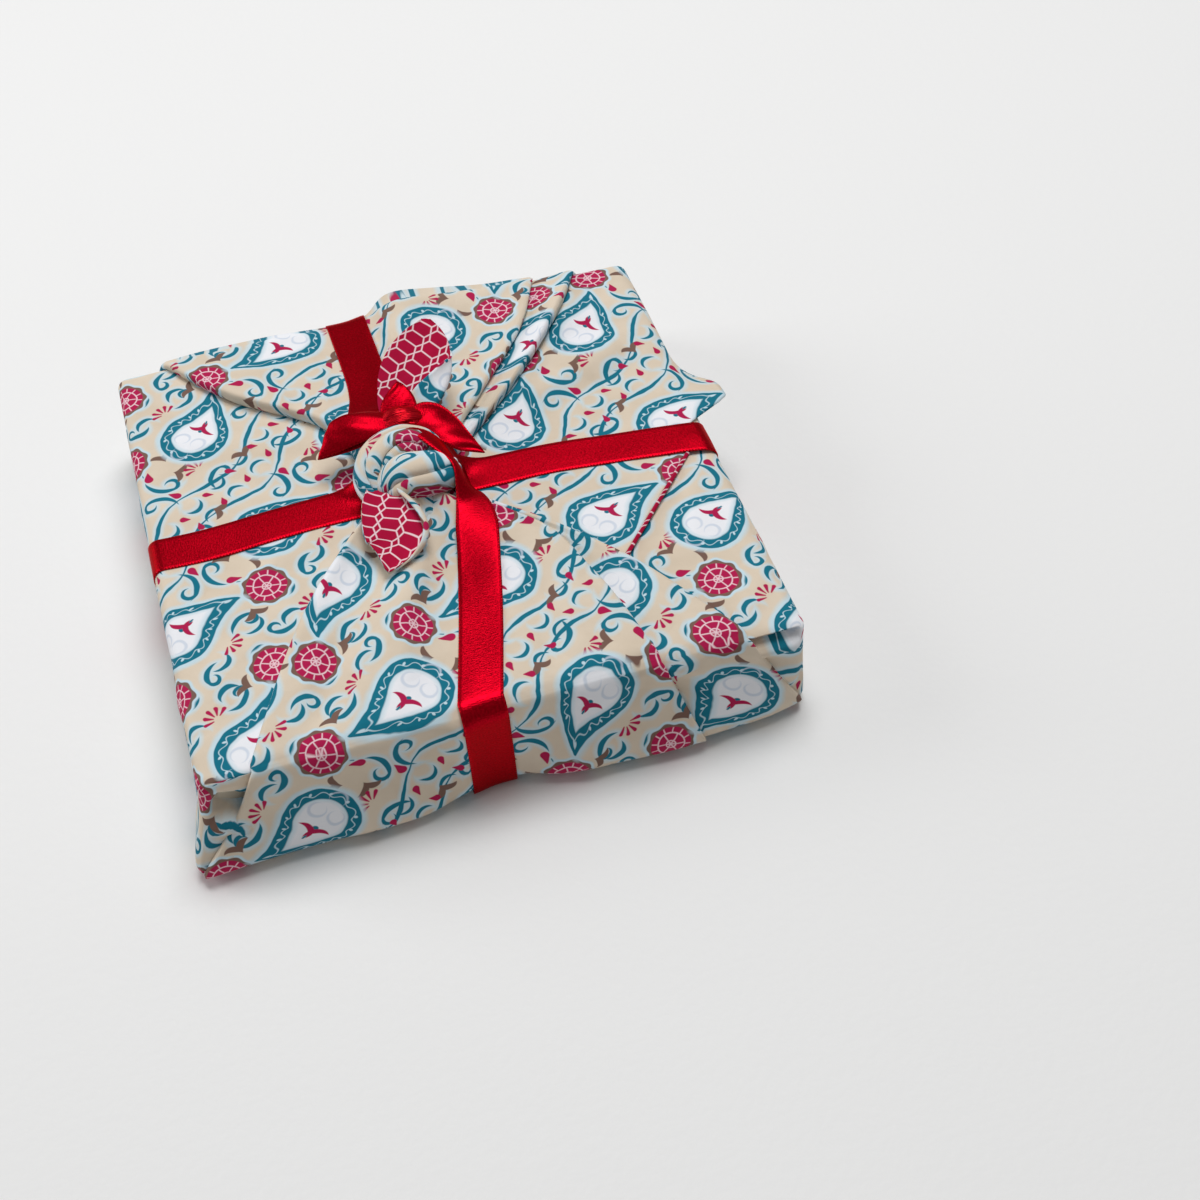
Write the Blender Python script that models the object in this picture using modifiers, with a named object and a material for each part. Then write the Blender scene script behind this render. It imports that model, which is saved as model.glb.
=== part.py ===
"""A flat square gift box wrapped in a double-faced furoshiki cloth and tied with a satin ribbon.

The cloth lies cornerwise under the box. Its right corner is folded over the top first and its left
corner over that one. Its front and back corners are gathered into two pleated wings that rise over
the edges to one knot, from which the two corners stand out as tails. A ribbon crosses both ways
round the parcel and ends in a small bow behind the knot. Tables and sizes are in millimetres.
"""

from math import cos, exp, pi, radians, sin

import bmesh
import bpy
from mathutils import Matrix, Vector

MM = 0.001

# Driving sizes of the wrapped parcel, to the outside of the cloth.
HALF = 100.0
TOP = 39.5
EDGE_RADIUS = 4.0
CLOTH = 1.0
GAP = 0.3
LAYER = CLOTH + GAP
RIBBON = 0.6
RIBBON_WIDTH = 15.0
BAND_STEP = 0.05
UNDER_RIBBON = RIBBON + BAND_STEP + GAP

# The gift box stands on the cloth where that passes over the crossed ribbon.
BOX_SLACK = 2.2
BOX_HALF = HALF - CLOTH - BOX_SLACK
BOX_FLOOR = UNDER_RIBBON + CLOTH + GAP
BOX_TOP = TOP - 2 * LAYER - GAP
BOX_ROUNDING = 2.5

# Where the two ribbon bands cross beneath the parcel.
BAND_X_AT = -2.0
BAND_Y_AT = -10.0
CHANNEL_FLAT = 13.0
CHANNEL_FADE = 13.0

# The left flap ends in the cloth's square corner, which reaches past the right edge.
TIP_X, TIP_Y = 113.8, 14.0
HEM_SLOPE = 0.895
HEM_HELD_X, HEM_HELD_Y = 95.5, 2.5
TIP_BACK_Y = 56.0
OVER_EDGE = 8.0
TIP_DROOP = radians(9)
HANG_FROM, HANG_SPREAD = 4.0, 38.0
BEND_SLACK = 0.5
GUSSET = 34.0
UNDER_FLAP_TIP = (-85.0, -14.0)
UNDER_FLAP_SLOPE = 0.95
HEM_BEAD = 1.8

# Where the left flap stands up loosely towards the back right corner.
PUFF_X, PUFF_Y = 70.0, 66.0
PUFF_SPREAD_X, PUFF_SPREAD_Y = 26.0, 22.0
PUFF_HEIGHT = 4.2

# Stations shared by neighbouring sheets: along a side, up a wall, and in from a wall on the top.
SIDE = (-100, -97.6, -96, -84, -70, -55, -40, -25, -14, -6.4, 2.5, 7, 14, 28, 42, 56, 70, 84, 96, 97.6, 100)
RISE = (0.0, 0.04, 0.1, 0.25, 0.5, 0.75, 0.9, 0.96, 1.0)
INSET = (0.0, 2.4, 4.0, 12.0, 22.0, GUSSET)
FLAP_SHARES = (0.13, 0.26, 0.39, 0.51, 0.62, 0.72, 0.81, 0.88, 0.92, 0.945, 0.97, 1.0)

# Front wing, a row for each fold line from its left hem to its right hem: x at the floor, at the
# top edge, at y -59, at y -34 and at the knot, then the height over the flap at the same four places
# on the top, and the number of strips to the next fold.
FRONT_Y = (-98.0, -59.0, -34.0, -7.0)
FRONT_FOLDS = (
    # name          floor  edge   mid    near   knot   h_edge h_mid h_near h_knot strips
    ("left hem",    -100, -82.0, -63.0, -48.0, -25.0,  1.3,   1.4,  1.5,   4.0,   2),
    ("left roll",    -96, -77.0, -58.5, -44.0, -23.0,  1.6,   3.2,  3.6,   6.5,   2),
    ("left slope",   -68, -58.0, -43.0, -29.0, -19.0,  1.8,   2.3,  3.0,   8.0,   3),
    ("ridge",        -38, -36.0, -25.5, -14.0, -15.0,  2.2,   5.6,  7.0,  10.0,   2),
    ("valley",       -23, -21.0, -12.5,  -4.0, -10.0,  1.5,   1.8,  3.2,   8.5,   2),
    ("ribbon seat",   -2,   0.0,   8.5,  12.0,  -4.0,  1.5,   2.8,  4.6,   9.0,   2),
    ("crown",         32,  26.0,  25.0,  20.0,   0.0,  2.0,   4.2,  5.0,   8.0,   2),
    ("pleat",         64,  50.0,  40.0,  30.0,   3.0,  3.2,   4.6,  4.8,   6.5,   1),
    ("pleat foot",    66,  51.4,  41.2,  31.2,   4.5,  1.5,   1.6,  2.0,   5.0,   2),
    ("under layer",   96,  72.0,  50.0,  32.6,   6.0,  1.6,   2.4,  2.0,   4.0,   1),
    ("right hem",    100,  79.0,  55.5,  33.8,   7.0,  1.3,   1.4,  1.4,   3.4,   0),
)
BACK_Y = (98.0, 70.0, 44.0, 7.0)
BACK_FOLDS = (
    # name          floor  edge   mid    near   knot   h_edge h_mid h_near h_knot strips
    ("left hem",    -100, -81.0, -60.0, -31.0, -20.0,  1.3,   1.4,  1.6,   4.0,   2),
    ("left roll",    -96, -75.0, -54.0, -27.0, -18.0,  2.4,   5.0,  5.2,   7.0,   2),
    ("left hollow",  -60, -50.0, -37.0, -21.0, -15.0,  4.2,   2.6,  3.4,   8.0,   3),
    ("ribbon left",  -22, -20.0, -19.0, -18.0, -13.0,  1.6,   2.2,  3.0,   8.0,   2),
    ("ribbon right",  -4,  -3.0,  -3.5,  -6.0, -10.0,  1.8,   2.4,  3.0,   8.0,   2),
    ("great roll",     9,   9.0,   6.0,   1.0,  -6.0,  9.0,   8.0,  5.6,   9.0,   3),
    ("fall",          44,  42.0,  31.0,  16.0,  -2.0,  4.6,   3.2,  4.2,   8.0,   2),
    ("crease",        68,  62.0,  52.0,  32.0,   1.0,  2.2,   3.4,  3.0,   6.5,   2),
    ("right roll",    92,  76.0,  61.0,  39.0,   3.0,  2.0,   4.8,  4.8,   5.0,   1),
    ("right hem",    100,  80.0,  65.0,  42.0,   5.0,  1.3,   1.4,  1.4,   3.4,   0),
)
FACE_RISE = (0.0, 0.05, 0.12, 0.25, 0.42, 0.6, 0.78, 0.91, 1.0)
FRONT_ROWS = (-99.4, -97.5, -92, -84, -74, -64, -54, -44, -34, -25, -17, -11, -7)
BACK_ROWS = (99.4, 97.5, 92, 84, 76, 67, 58, 49, 40, 32, 24, 16, 7)

# A wing leaves the wall just above the floor, and its folds are shallower on the face than on the top.
WING_LEAVES = 0.12
FACE_SHARE = 0.7
EDGE_FROM = 0.8
EDGE_INSET = 6.0

# How far the loose cloth stands out at the foot of each side: place along the side, reach.
FRONT_FOOT = ((-100, 3.5), (-80, 4.6), (-47, 6.2), (-26, 4.0), (-17, 0.4), (0, 0.4), (12, 4.0),
              (50, 6.2), (80, 4.2), (100, 0.8))
BACK_FOOT = ((-100, 0.8), (-50, 3.2), (-20, 0.4), (-1, 0.4), (45, 3.6), (100, 0.8))
LEFT_FOOT = ((-100, 4.5), (-75, 1.6), (-12, 0.3), (10, 0.3), (60, 1.6), (100, 0.8))
RIGHT_FOOT = ((-100, 0.8), (-60, 1.8), (-14, 0.3), (8, 0.3), (60, 1.8), (100, 0.8))
FOOT_HEIGHT, FOOT_SPREAD = 5.0, 15.0
FOOT_DEPTH = 18.0
LIFT_HEIGHT = 6.0

# The knot and the strand that wraps over it.
KNOT_AT = (-10.5, -2.0, 51.0)
KNOT_RADII = (14.5, 13.5, 9.6)
STRAND = (
    # x      y      z     radius
    (1.0,   10.0,  50.0,  4.0),
    (-3.5,  11.0,  55.0,  5.6),
    (-12.0,  8.5,  58.5,  6.6),
    (-20.0,  2.0,  55.5,  6.4),
    (-23.0, -6.0,  50.5,  5.4),
    (-20.0, -12.0, 47.5,  3.6),
)

# The two tails: spine, half width, lift of the left and right rims.
FRONT_TAIL = (
    # x      y      z     half  left  right
    (-18.0, -8.0,  50.5,  5.0,  0.5,  1.5),
    (-19.5, -14.0, 50.6,  8.5,  1.0,  3.0),
    (-20.6, -20.0, 50.2,  10.6, 0.8,  4.0),
    (-21.4, -26.0, 49.4,  10.4, 0.4,  4.0),
    (-22.0, -32.0, 48.2,  8.4,  0.0,  3.0),
    (-22.4, -37.0, 47.0,  5.2,  0.0,  1.5),
    (-22.6, -40.5, 46.2,  1.8,  0.0,  0.4),
)
BACK_TAIL = (
    # x      y      z     half  left  right
    (-8.0,   8.0,  49.0,  4.0,  0.0,  0.0),
    (-6.5,  17.0,  47.8,  4.5,  0.3,  0.3),
    (-5.0,  25.0,  47.6,  5.5,  0.5,  0.5),
    (-3.0,  32.0,  49.5,  7.5,  1.0,  1.4),
    (0.5,   39.0,  53.5,  10.0, 1.2,  2.0),
    (5.0,   46.0,  58.0,  11.0, 0.6,  1.8),
    (9.5,   52.5,  61.8,  9.0,  0.2,  1.2),
    (13.0,  57.5,  64.5,  5.0,  0.0,  0.5),
    (14.8,  60.3,  66.0,  1.8,  0.0,  0.1),
)
TAIL_STRIPS = 6
LINING_INSET = 1.2

# The ribbon round the parcel, on the top from the back edge to the front edge.
BAND_Y_TOP = (
    # y     x      width  lowest
    (97.5, -11.0,  15.0,  0.0),
    (67,   -10.5,  15.0,  0.0),
    (49,   -11.5,  14.0,  0.0),
    (38,   -15.5,  10.0,  46.5),
    (32,   -14.5,  7.0,   50.6),
    (26,    -4.0,  6.5,   52.0),
    (20,     4.5,  6.5,   50.0),
    (10,    11.5,  6.0,   47.5),
    (-2,    12.0,  6.0,   47.0),
    (-12,   11.5,  7.5,   47.0),
    (-22,    8.0,  12.5,  0.0),
    (-34,    7.5,  15.0,  0.0),
    (-64,    0.2,  15.0,  0.0),
    (-97.5, -8.8,  15.0,  0.0),
)
BAND_Y_ROWS = (97.5, 92, 84, 76, 67, 58, 49, 43, 38, 35, 32, 29, 26, 23, 20, 15, 10, 4, -2, -7, -12, -17,
               -22, -28, -34, -44, -54, -64, -74, -84, -92, -97.5)
BAND_X_TOP = ((-98, 2.0), (-60, 2.0), (-20, 3.0), (15, 3.0), (45, 1.5), (70, -1.5), (98, -6.0))
BAND_X_ROWS = (-96, -80, -60, -40, -20, 0, 15, 30, 45, 58, 70, 84, 96)
BAND_MARGIN = 0.25
BOW_KNOT_AT = (-3.5, 26.0, 53.2)
BOW_KNOT_RADII = (5.4, 4.6, 3.8)
LEFT_LOOP = (
    # x      y      z     width roll
    (-3.0,  26.0,  54.0,  7.0,  20),
    (-12.0, 27.0,  56.5,  11.0, 25),
    (-23.0, 25.0,  55.5,  13.0, 30),
    (-32.0, 20.5,  52.0,  12.0, 25),
    (-35.0, 18.5,  50.4,  10.5, 20),
    (-33.0, 18.0,  49.2,  10.0, 15),
    (-24.0, 20.5,  49.8,  9.0,  15),
    (-13.0, 23.5,  51.2,  7.0,  10),
    (-4.0,  25.5,  52.0,  5.0,  5),
)
RIGHT_TAIL = (
    # x      y      z     width roll
    (-3.0,  26.0,  54.0,  6.0,  -10),
    (3.0,   25.0,  56.8,  12.0, -14),
    (9.0,   20.5,  57.8,  15.0, -12),
    (14.0,  13.5,  56.2,  14.0, -8),
    (17.5,   6.5,  52.8,  8.0,  -4),
    (19.6,   1.5,  49.8,  1.6,  0),
)
POINT_LOOP = (
    # x      y      z     width roll
    (-4.0,  26.0,  53.6,  8.0,  0),
    (-5.5,  31.0,  56.6,  8.0,  0),
    (-6.5,  34.5,  58.0,  2.0,  0),
)

COLORS = {
    "gift_box": (0.60, 0.53, 0.42, 1.0),
    "furoshiki_cloth": (0.72, 0.60, 0.44, 1.0),
    "lining": (0.42, 0.01, 0.06, 1.0),
    "ribbon": (0.55, 0.004, 0.02, 1.0),
}


def clear_scene():
    for obj in list(bpy.data.objects):
        bpy.data.objects.remove(obj, do_unlink=True)


def make_collection(name, hidden=False):
    collection = bpy.data.collections.new(name)
    collection.hide_render = hidden
    bpy.context.scene.collection.children.link(collection)
    return collection


def make_material(name, roughness):
    material = bpy.data.materials.new(name)
    material.use_nodes = True
    shader = material.node_tree.nodes["Principled BSDF"]
    shader.inputs["Base Color"].default_value = COLORS[name]
    shader.inputs["Roughness"].default_value = roughness
    shader.inputs["Metallic"].default_value = 0.0
    return material


def clamp(value, low, high):
    return max(low, min(high, value))


def smoothstep(t):
    t = clamp(t, 0.0, 1.0)
    return t * t * (3 - 2 * t)


def mix(a, b, t):
    return a + (b - a) * t


def along(stations, values, place):
    """The value at a place between stations, which may run up or down."""
    for k in range(len(stations) - 1):
        t = (place - stations[k]) / (stations[k + 1] - stations[k])
        if t <= 1 or k == len(stations) - 2:
            return mix(values[k], values[k + 1], clamp(t, 0.0, 1.0))


def from_table(table, place, column=1):
    return along([row[0] for row in table], [row[column] for row in table], place)


def rounded_box(point, half, top, radius):
    """Moves a point of a sharp-edged box onto the same box with rounded edges."""
    x, y, z = point
    core = Vector((clamp(x, radius - half, half - radius),
                   clamp(y, radius - half, half - radius),
                   clamp(z, radius, top - radius)))
    out = Vector(point) - core
    if out.length < 1e-9:
        return core
    return core + out * (radius / out.length)


def settle(point):
    """Lets the cloth stand out loosely at the foot of each side and lift over the ribbon."""
    x, y, z = point
    low = exp(-(((z - FOOT_HEIGHT) / FOOT_SPREAD) ** 2))
    sides = (
        (FRONT_FOOT, -y, x, 1, -1),
        (BACK_FOOT, y, x, 1, 1),
        (LEFT_FOOT, -x, y, 0, -1),
        (RIGHT_FOOT, x, y, 0, 1),
    )
    moved = Vector(point)
    for table, depth, place, axis, sign in sides:
        share = low * smoothstep((depth + 2 - HALF + FOOT_DEPTH) / FOOT_DEPTH)
        moved[axis] += sign * from_table(table, place) * share
    lift = max(channel(x - BAND_Y_AT), channel(y - BAND_X_AT)) * (1 - smoothstep(z / LIFT_HEIGHT))
    moved.z += UNDER_RIBBON * lift
    return moved


def channel(off):
    return 1 - smoothstep((abs(off) - CHANNEL_FLAT) / CHANNEL_FADE)


def puff(x, y):
    """How far the left flap stands up at one place."""
    off_x = (x - PUFF_X) / PUFF_SPREAD_X
    off_y = (y - PUFF_Y) / PUFF_SPREAD_Y
    return PUFF_HEIGHT * exp(-(off_x ** 2) - off_y ** 2)


def strips(folds):
    """For each column of a wing: the two folds that it lies between and how far along."""
    columns = []
    for k, fold in enumerate(folds[:-1]):
        columns += [(fold, folds[k + 1], step / fold[-1]) for step in range(fold[-1])]
    return columns + [(folds[-1], folds[-1], 0.0)]


def wing_face(folds, rise):
    """x and reach of each column of a wing's front face, at a share of its height."""
    section = []
    for a, b, t in strips(folds):
        x = mix(mix(a[1], b[1], t), mix(a[2], b[2], t), rise)
        reach = mix(a[6], b[6], smoothstep(t))
        section.append((x, reach - LAYER))
    return section


def wing_top(folds, places, y):
    """x and height over the flap of each column of a wing, at one y on the top."""
    section = []
    for a, b, t in strips(folds):
        xs = [mix(a[2 + k], b[2 + k], t) for k in range(4)]
        heights = [mix(a[6 + k], b[6 + k], smoothstep(t)) for k in range(4)]
        section.append((along(places, xs, y), along(places, heights, y) - LAYER))
    return section


def wing_rows(folds, places, tops, side):
    """The rows of a wing from the foot of its face up over the edge and in to the knot."""
    rows = []
    outer = dict(half=HALF + LAYER, top=TOP + LAYER, radius=EDGE_RADIUS + LAYER)
    for rise in FACE_RISE:
        row = []
        for x, reach in wing_face(folds, rise):
            inner_point = rounded_box((x, side * HALF, rise * TOP), HALF, TOP, EDGE_RADIUS)
            outer_point = rounded_box((x, side * (HALF + LAYER), rise * (TOP + LAYER)), **outer)
            free = smoothstep(rise / WING_LEAVES)
            point = settle(inner_point.lerp(outer_point, free))
            point.y += side * reach * free * FACE_SHARE
            point.z += reach * smoothstep((rise - EDGE_FROM) / (1 - EDGE_FROM)) * FACE_SHARE
            row.append(point)
        rows.append(row)
    for y in tops:
        row = []
        for x, height in wing_top(folds, places, y):
            point = rounded_box((x, y, TOP + LAYER), **outer)
            point.z += height * mix(FACE_SHARE, 1.0, smoothstep((HALF - abs(y)) / EDGE_INSET)) + puff(x, y)
            row.append(point)
        rows.append(row)
    return rows


def bend_over(x, y, z):
    """Lays the part of the left flap that passes the right edge: the tip stands out, the rest hangs."""
    start = HALF - EDGE_RADIUS + 1
    if x <= start:
        return Vector((x, y, z + puff(x, y)))
    radius = EDGE_RADIUS + BEND_SLACK
    turn = mix(TIP_DROOP, pi / 2, smoothstep((y - TIP_Y - HANG_FROM) / HANG_SPREAD))
    angle = min((x - start) / radius, turn)
    rest = (x - start) - angle * radius
    out = radius * sin(angle) + rest * cos(angle)
    down = radius * (1 - cos(angle)) + rest * sin(angle)
    return Vector((start + out, y, z + puff(x, y) - down))


def flap_end(y):
    """How far the left flap reaches at one y, measured along the cloth."""
    if y <= HEM_HELD_Y:
        return min(TIP_X - (TIP_Y - y) * HEM_SLOPE, HEM_HELD_X)
    if y <= TIP_Y:
        return mix(HEM_HELD_X, TIP_X, (y - HEM_HELD_Y) / (TIP_Y - HEM_HELD_Y))
    return mix(TIP_X, HALF + OVER_EDGE, smoothstep((y - TIP_Y) / (TIP_BACK_Y - TIP_Y)))


def under_flap_end(y):
    return UNDER_FLAP_TIP[0] + abs(y - UNDER_FLAP_TIP[1]) * UNDER_FLAP_SLOPE


def left_flap_rows(end_margin):
    rows = []
    for inset in INSET:
        rows.append([settle(rounded_box((inset - HALF, y, TOP), HALF, TOP, EDGE_RADIUS)) for y in SIDE])
    for share in FLAP_SHARES:
        row = []
        for y in SIDE:
            x = mix(GUSSET - HALF, flap_end(y) - end_margin, share)
            level = rounded_box((0.0, y, TOP), HALF, TOP, EDGE_RADIUS)
            row.append(bend_over(x, level.y, level.z))
        rows.append(row)
    return rows


def right_flap_rows():
    top = TOP - LAYER
    rows = []
    for inset in INSET:
        rows.append([settle(rounded_box((HALF - inset, y, top), HALF, top, EDGE_RADIUS)) for y in SIDE])
    for step in range(1, 7):
        row = []
        for y in SIDE:
            x = mix(HALF - GUSSET, under_flap_end(y), step / 6)
            row.append(rounded_box((x, y, top), HALF, top, EDGE_RADIUS))
        rows.append(row)
    return rows


def wall_rows(side):
    top = TOP if side < 0 else TOP - LAYER
    return [[settle(rounded_box((side * HALF, y, rise * top), HALF, top, EDGE_RADIUS)) for y in SIDE]
            for rise in RISE]


def gusset_rows(side_x, side_y):
    """The triangle of a side wall's cloth that wraps round an upright edge, behind the wing."""
    top = TOP if side_x < 0 else TOP - LAYER
    return [[settle(rounded_box((side_x * (HALF - inset * rise), side_y * HALF, rise * top),
                                HALF, top, EDGE_RADIUS)) for inset in INSET] for rise in RISE]


def bottom_rows():
    front = [x for x, _ in wing_face(FRONT_FOLDS, 0.0)]
    back = [x for x, _ in wing_face(BACK_FOLDS, 0.0)]
    rows = []
    for y in SIDE:
        t = (y + HALF) / (2 * HALF)
        rows.append([settle(rounded_box((mix(a, b, t), y, 0.0), HALF, TOP, EDGE_RADIUS))
                     for a, b in zip(front, back)])
    return rows


def add_patch(mesh, rows, flip=False):
    """Adds a grid of quads through rows of points, turned over if flip is set."""
    grid = [[mesh.verts.new(point * MM) for point in row] for row in rows]
    for lower, upper in zip(grid, grid[1:]):
        for k in range(len(lower) - 1):
            corners = (lower[k], lower[k + 1], upper[k + 1], upper[k])
            mesh.faces.new(tuple(reversed(corners)) if flip else corners)


def mesh_object(name, mesh, collection, material=None):
    data = bpy.data.meshes.new(name)
    mesh.to_mesh(data)
    mesh.free()
    obj = bpy.data.objects.new(name, data)
    collection.objects.link(obj)
    if material:
        data.materials.append(material)
    return obj


def add_solidify(obj, thickness, offset=-1.0):
    solidify = obj.modifiers.new("Thickness", "SOLIDIFY")
    solidify.thickness = thickness * MM
    solidify.offset = offset
    solidify.use_even_offset = False


def add_union(obj, helper):
    boolean = obj.modifiers.new("Join " + helper.name, "BOOLEAN")
    boolean.operation = "UNION"
    boolean.object = helper
    boolean.solver = "EXACT"


def hide(obj):
    obj.hide_render = True
    obj.display_type = "WIRE"


def make_gift_box(collection, material):
    bpy.ops.mesh.primitive_cube_add(size=1.0)
    box = bpy.context.object
    box.name = "gift_box"
    box.data.name = "gift_box"
    height = BOX_TOP - BOX_FLOOR
    box.data.transform(Matrix.Diagonal((2 * BOX_HALF * MM, 2 * BOX_HALF * MM, height * MM, 1.0)))
    box.location = (0.0, 0.0, (BOX_FLOOR + height / 2) * MM)
    bevel = box.modifiers.new("Rounding", "BEVEL")
    bevel.width = BOX_ROUNDING * MM
    bevel.segments = 2
    for other in list(box.users_collection):
        other.objects.unlink(box)
    collection.objects.link(box)
    box.data.materials.append(material)
    return box


def cloth_body(collection):
    """Bottom, walls, both side flaps, the wrapped corners and the two wings, as one open sheet."""
    mesh = bmesh.new()
    add_patch(mesh, bottom_rows(), flip=True)
    add_patch(mesh, wall_rows(-1), flip=True)
    add_patch(mesh, wall_rows(1))
    add_patch(mesh, left_flap_rows(HEM_BEAD + 1.5 * GAP), flip=True)
    add_patch(mesh, right_flap_rows())
    for side_x in (-1, 1):
        for side_y in (-1, 1):
            add_patch(mesh, gusset_rows(side_x, side_y), flip=side_x * side_y < 0)
    add_patch(mesh, wing_rows(FRONT_FOLDS, FRONT_Y, FRONT_ROWS, -1))
    add_patch(mesh, wing_rows(BACK_FOLDS, BACK_Y, BACK_ROWS, 1), flip=True)
    bmesh.ops.remove_doubles(mesh, verts=mesh.verts, dist=0.01 * MM)
    return mesh_object("furoshiki_cloth", mesh, collection)


def ellipsoid(name, center, radii, collection):
    mesh = bmesh.new()
    placed = Matrix.Translation(Vector(center) * MM) @ Matrix.Diagonal((*(r * MM for r in radii), 1.0))
    bmesh.ops.create_uvsphere(mesh, u_segments=20, v_segments=12, radius=1.0, matrix=placed)
    return mesh_object(name, mesh, collection)


def smooth_path(rows, steps):
    """Points on a smooth curve through the rows of a table, every column along with them."""
    rows = [tuple(float(v) for v in row) for row in rows]
    ends = [rows[0]] + rows + [rows[-1]]
    path = []
    for k in range(1, len(ends) - 2):
        before, start, end, after = ends[k - 1:k + 3]
        for step in range(steps):
            t = step / steps
            path.append(tuple(
                0.5 * (2 * b + (c - a) * t + (2 * a - 5 * b + 4 * c - d) * t ** 2
                       + (3 * b - a - 3 * c + d) * t ** 3)
                for a, b, c, d in zip(before, start, end, after)))
    return path + [rows[-1]]


def strand(name, rows, collection):
    """A rounded strand of gathered cloth through the rows, as a capped tube."""
    curve = bpy.data.curves.new(name, "CURVE")
    curve.dimensions = "3D"
    curve.bevel_depth = MM
    curve.bevel_resolution = 3
    curve.use_fill_caps = True
    spline = curve.splines.new("POLY")
    path = smooth_path(rows, 3)
    spline.points.add(len(path) - 1)
    for point, (x, y, z, radius) in zip(spline.points, path):
        point.co = (x * MM, y * MM, z * MM, 1.0)
        point.radius = radius
    tube = bpy.data.objects.new(name + "_curve", curve)
    collection.objects.link(tube)
    graph = bpy.context.evaluated_depsgraph_get()
    mesh = bmesh.new()
    data = bpy.data.meshes.new_from_object(tube.evaluated_get(graph))
    mesh.from_mesh(data)
    bpy.data.objects.remove(tube, do_unlink=True)
    bmesh.ops.remove_doubles(mesh, verts=mesh.verts, dist=0.001 * MM)
    return mesh_object(name, mesh, collection)


def spine_frames(path):
    """For each point of a path: its place, the direction across and the one up from it."""
    frames = []
    for k, row in enumerate(path):
        before = Vector(path[max(k - 1, 0)][:3])
        after = Vector(path[min(k + 1, len(path) - 1)][:3])
        forward = (after - before).normalized()
        across = forward.cross(Vector((0, 0, 1))).normalized()
        frames.append((Vector(row[:3]), across, across.cross(forward)))
    return frames


def tail_rows(table, first, side_sign, inset, lift):
    """A leaf-shaped tail: rows across it from its root to its tip, its rims lifted."""
    path = smooth_path(table, 2)[first:]
    rows = []
    for (x, y, z, half, left, right), (place, across, up) in zip(path, spine_frames(path)):
        row = []
        for k in range(TAIL_STRIPS + 1):
            u = 2 * k / TAIL_STRIPS - 1
            rim = left if u * side_sign < 0 else right
            rise = rim * abs(u) ** 2.5 + lift
            row.append(place + across * u * max(half - inset, 0.6) + up * rise)
        rows.append(row)
    return rows


def tail_sheet(name, table, first, side_sign, inset, lift, offset, collection, material=None):
    mesh = bmesh.new()
    add_patch(mesh, tail_rows(table, first, side_sign, inset, lift))
    obj = mesh_object(name, mesh, collection, material)
    add_solidify(obj, CLOTH, offset)
    return obj


def make_cloth(collection, helpers, material):
    cloth = cloth_body(collection)
    cloth.data.materials.append(material)
    add_solidify(cloth, CLOTH)
    joined = [
        ellipsoid("knot_core", KNOT_AT, KNOT_RADII, helpers),
        strand("knot_strand", STRAND, helpers),
        tail_sheet("front_tail", FRONT_TAIL, 0, -1, 0.0, 0.0, -1.0, helpers),
        tail_sheet("back_tail", BACK_TAIL, 0, 1, 0.0, 0.0, -1.0, helpers),
    ]
    for helper in joined:
        hide(helper)
        add_union(cloth, helper)
    return cloth


def make_lining(collection, material):
    lift = GAP + 0.05
    tail_sheet("lining_front_tail", FRONT_TAIL, 3, -1, LINING_INSET, lift, 1.0, collection, material)
    tail_sheet("lining_back_tail", BACK_TAIL, 7, 1, LINING_INSET, lift, 1.0, collection, material)
    mesh = bmesh.new()
    ys = [y for y in SIDE if abs(y) <= 96]
    rows = []
    for y in ys:
        end = flap_end(y)
        inner = bend_over(end - HEM_BEAD, y, TOP)
        rows.append([inner, bend_over(end, y, TOP)])
    add_patch(mesh, rows)
    hem = mesh_object("lining_hem", mesh, collection, material)
    add_solidify(hem, CLOTH)


def cloth_top(x, y):
    """The outer height of the cloth at a place on the top."""
    highest = TOP + puff(x, y)
    wings = (
        (FRONT_FOLDS, FRONT_Y, y <= FRONT_Y[-1]),
        (BACK_FOLDS, BACK_Y, y >= BACK_Y[-1]),
    )
    for folds, places, inside in wings:
        section = wing_top(folds, places, y)
        if not inside or not section[0][0] <= x <= section[-1][0]:
            continue
        xs = [place for place, _ in section]
        heights = [height for _, height in section]
        highest = max(highest, TOP + LAYER + along(xs, heights, x) + puff(x, y))
    return highest


def highest_under(x, y, width):
    return max(cloth_top(x + width * (k / 8 - 0.5), y) for k in range(9))


def row_at(row, x):
    """The point of a wing's row at one x."""
    xs = [point.x for point in row]
    return Vector((x, along(xs, [point.y for point in row], x), along(xs, [point.z for point in row], x)))


def band_y_face(folds, places, tops, side, x):
    """The band's points up one face, each on the part of the cloth that stands out most."""
    points = []
    for row in wing_rows(folds, places, tops, side)[1:len(FACE_RISE)]:
        under = [row_at(row, x + RIBBON_WIDTH * (k / 8 - 0.5)) for k in range(9)]
        reach = max(side * point.y for point in under)
        points.append(Vector((x, side * reach, max(point.z for point in under))))
    return points


def band_foot(start, end):
    """The band's points beneath the parcel, on the lifted cloth, from one foot to the other."""
    points = []
    for k in range(len(SIDE)):
        point = start.lerp(end, (SIDE[k] + HALF) / (2 * HALF))
        points.append(settle(rounded_box(point, HALF, TOP, EDGE_RADIUS)))
    return points


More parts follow.
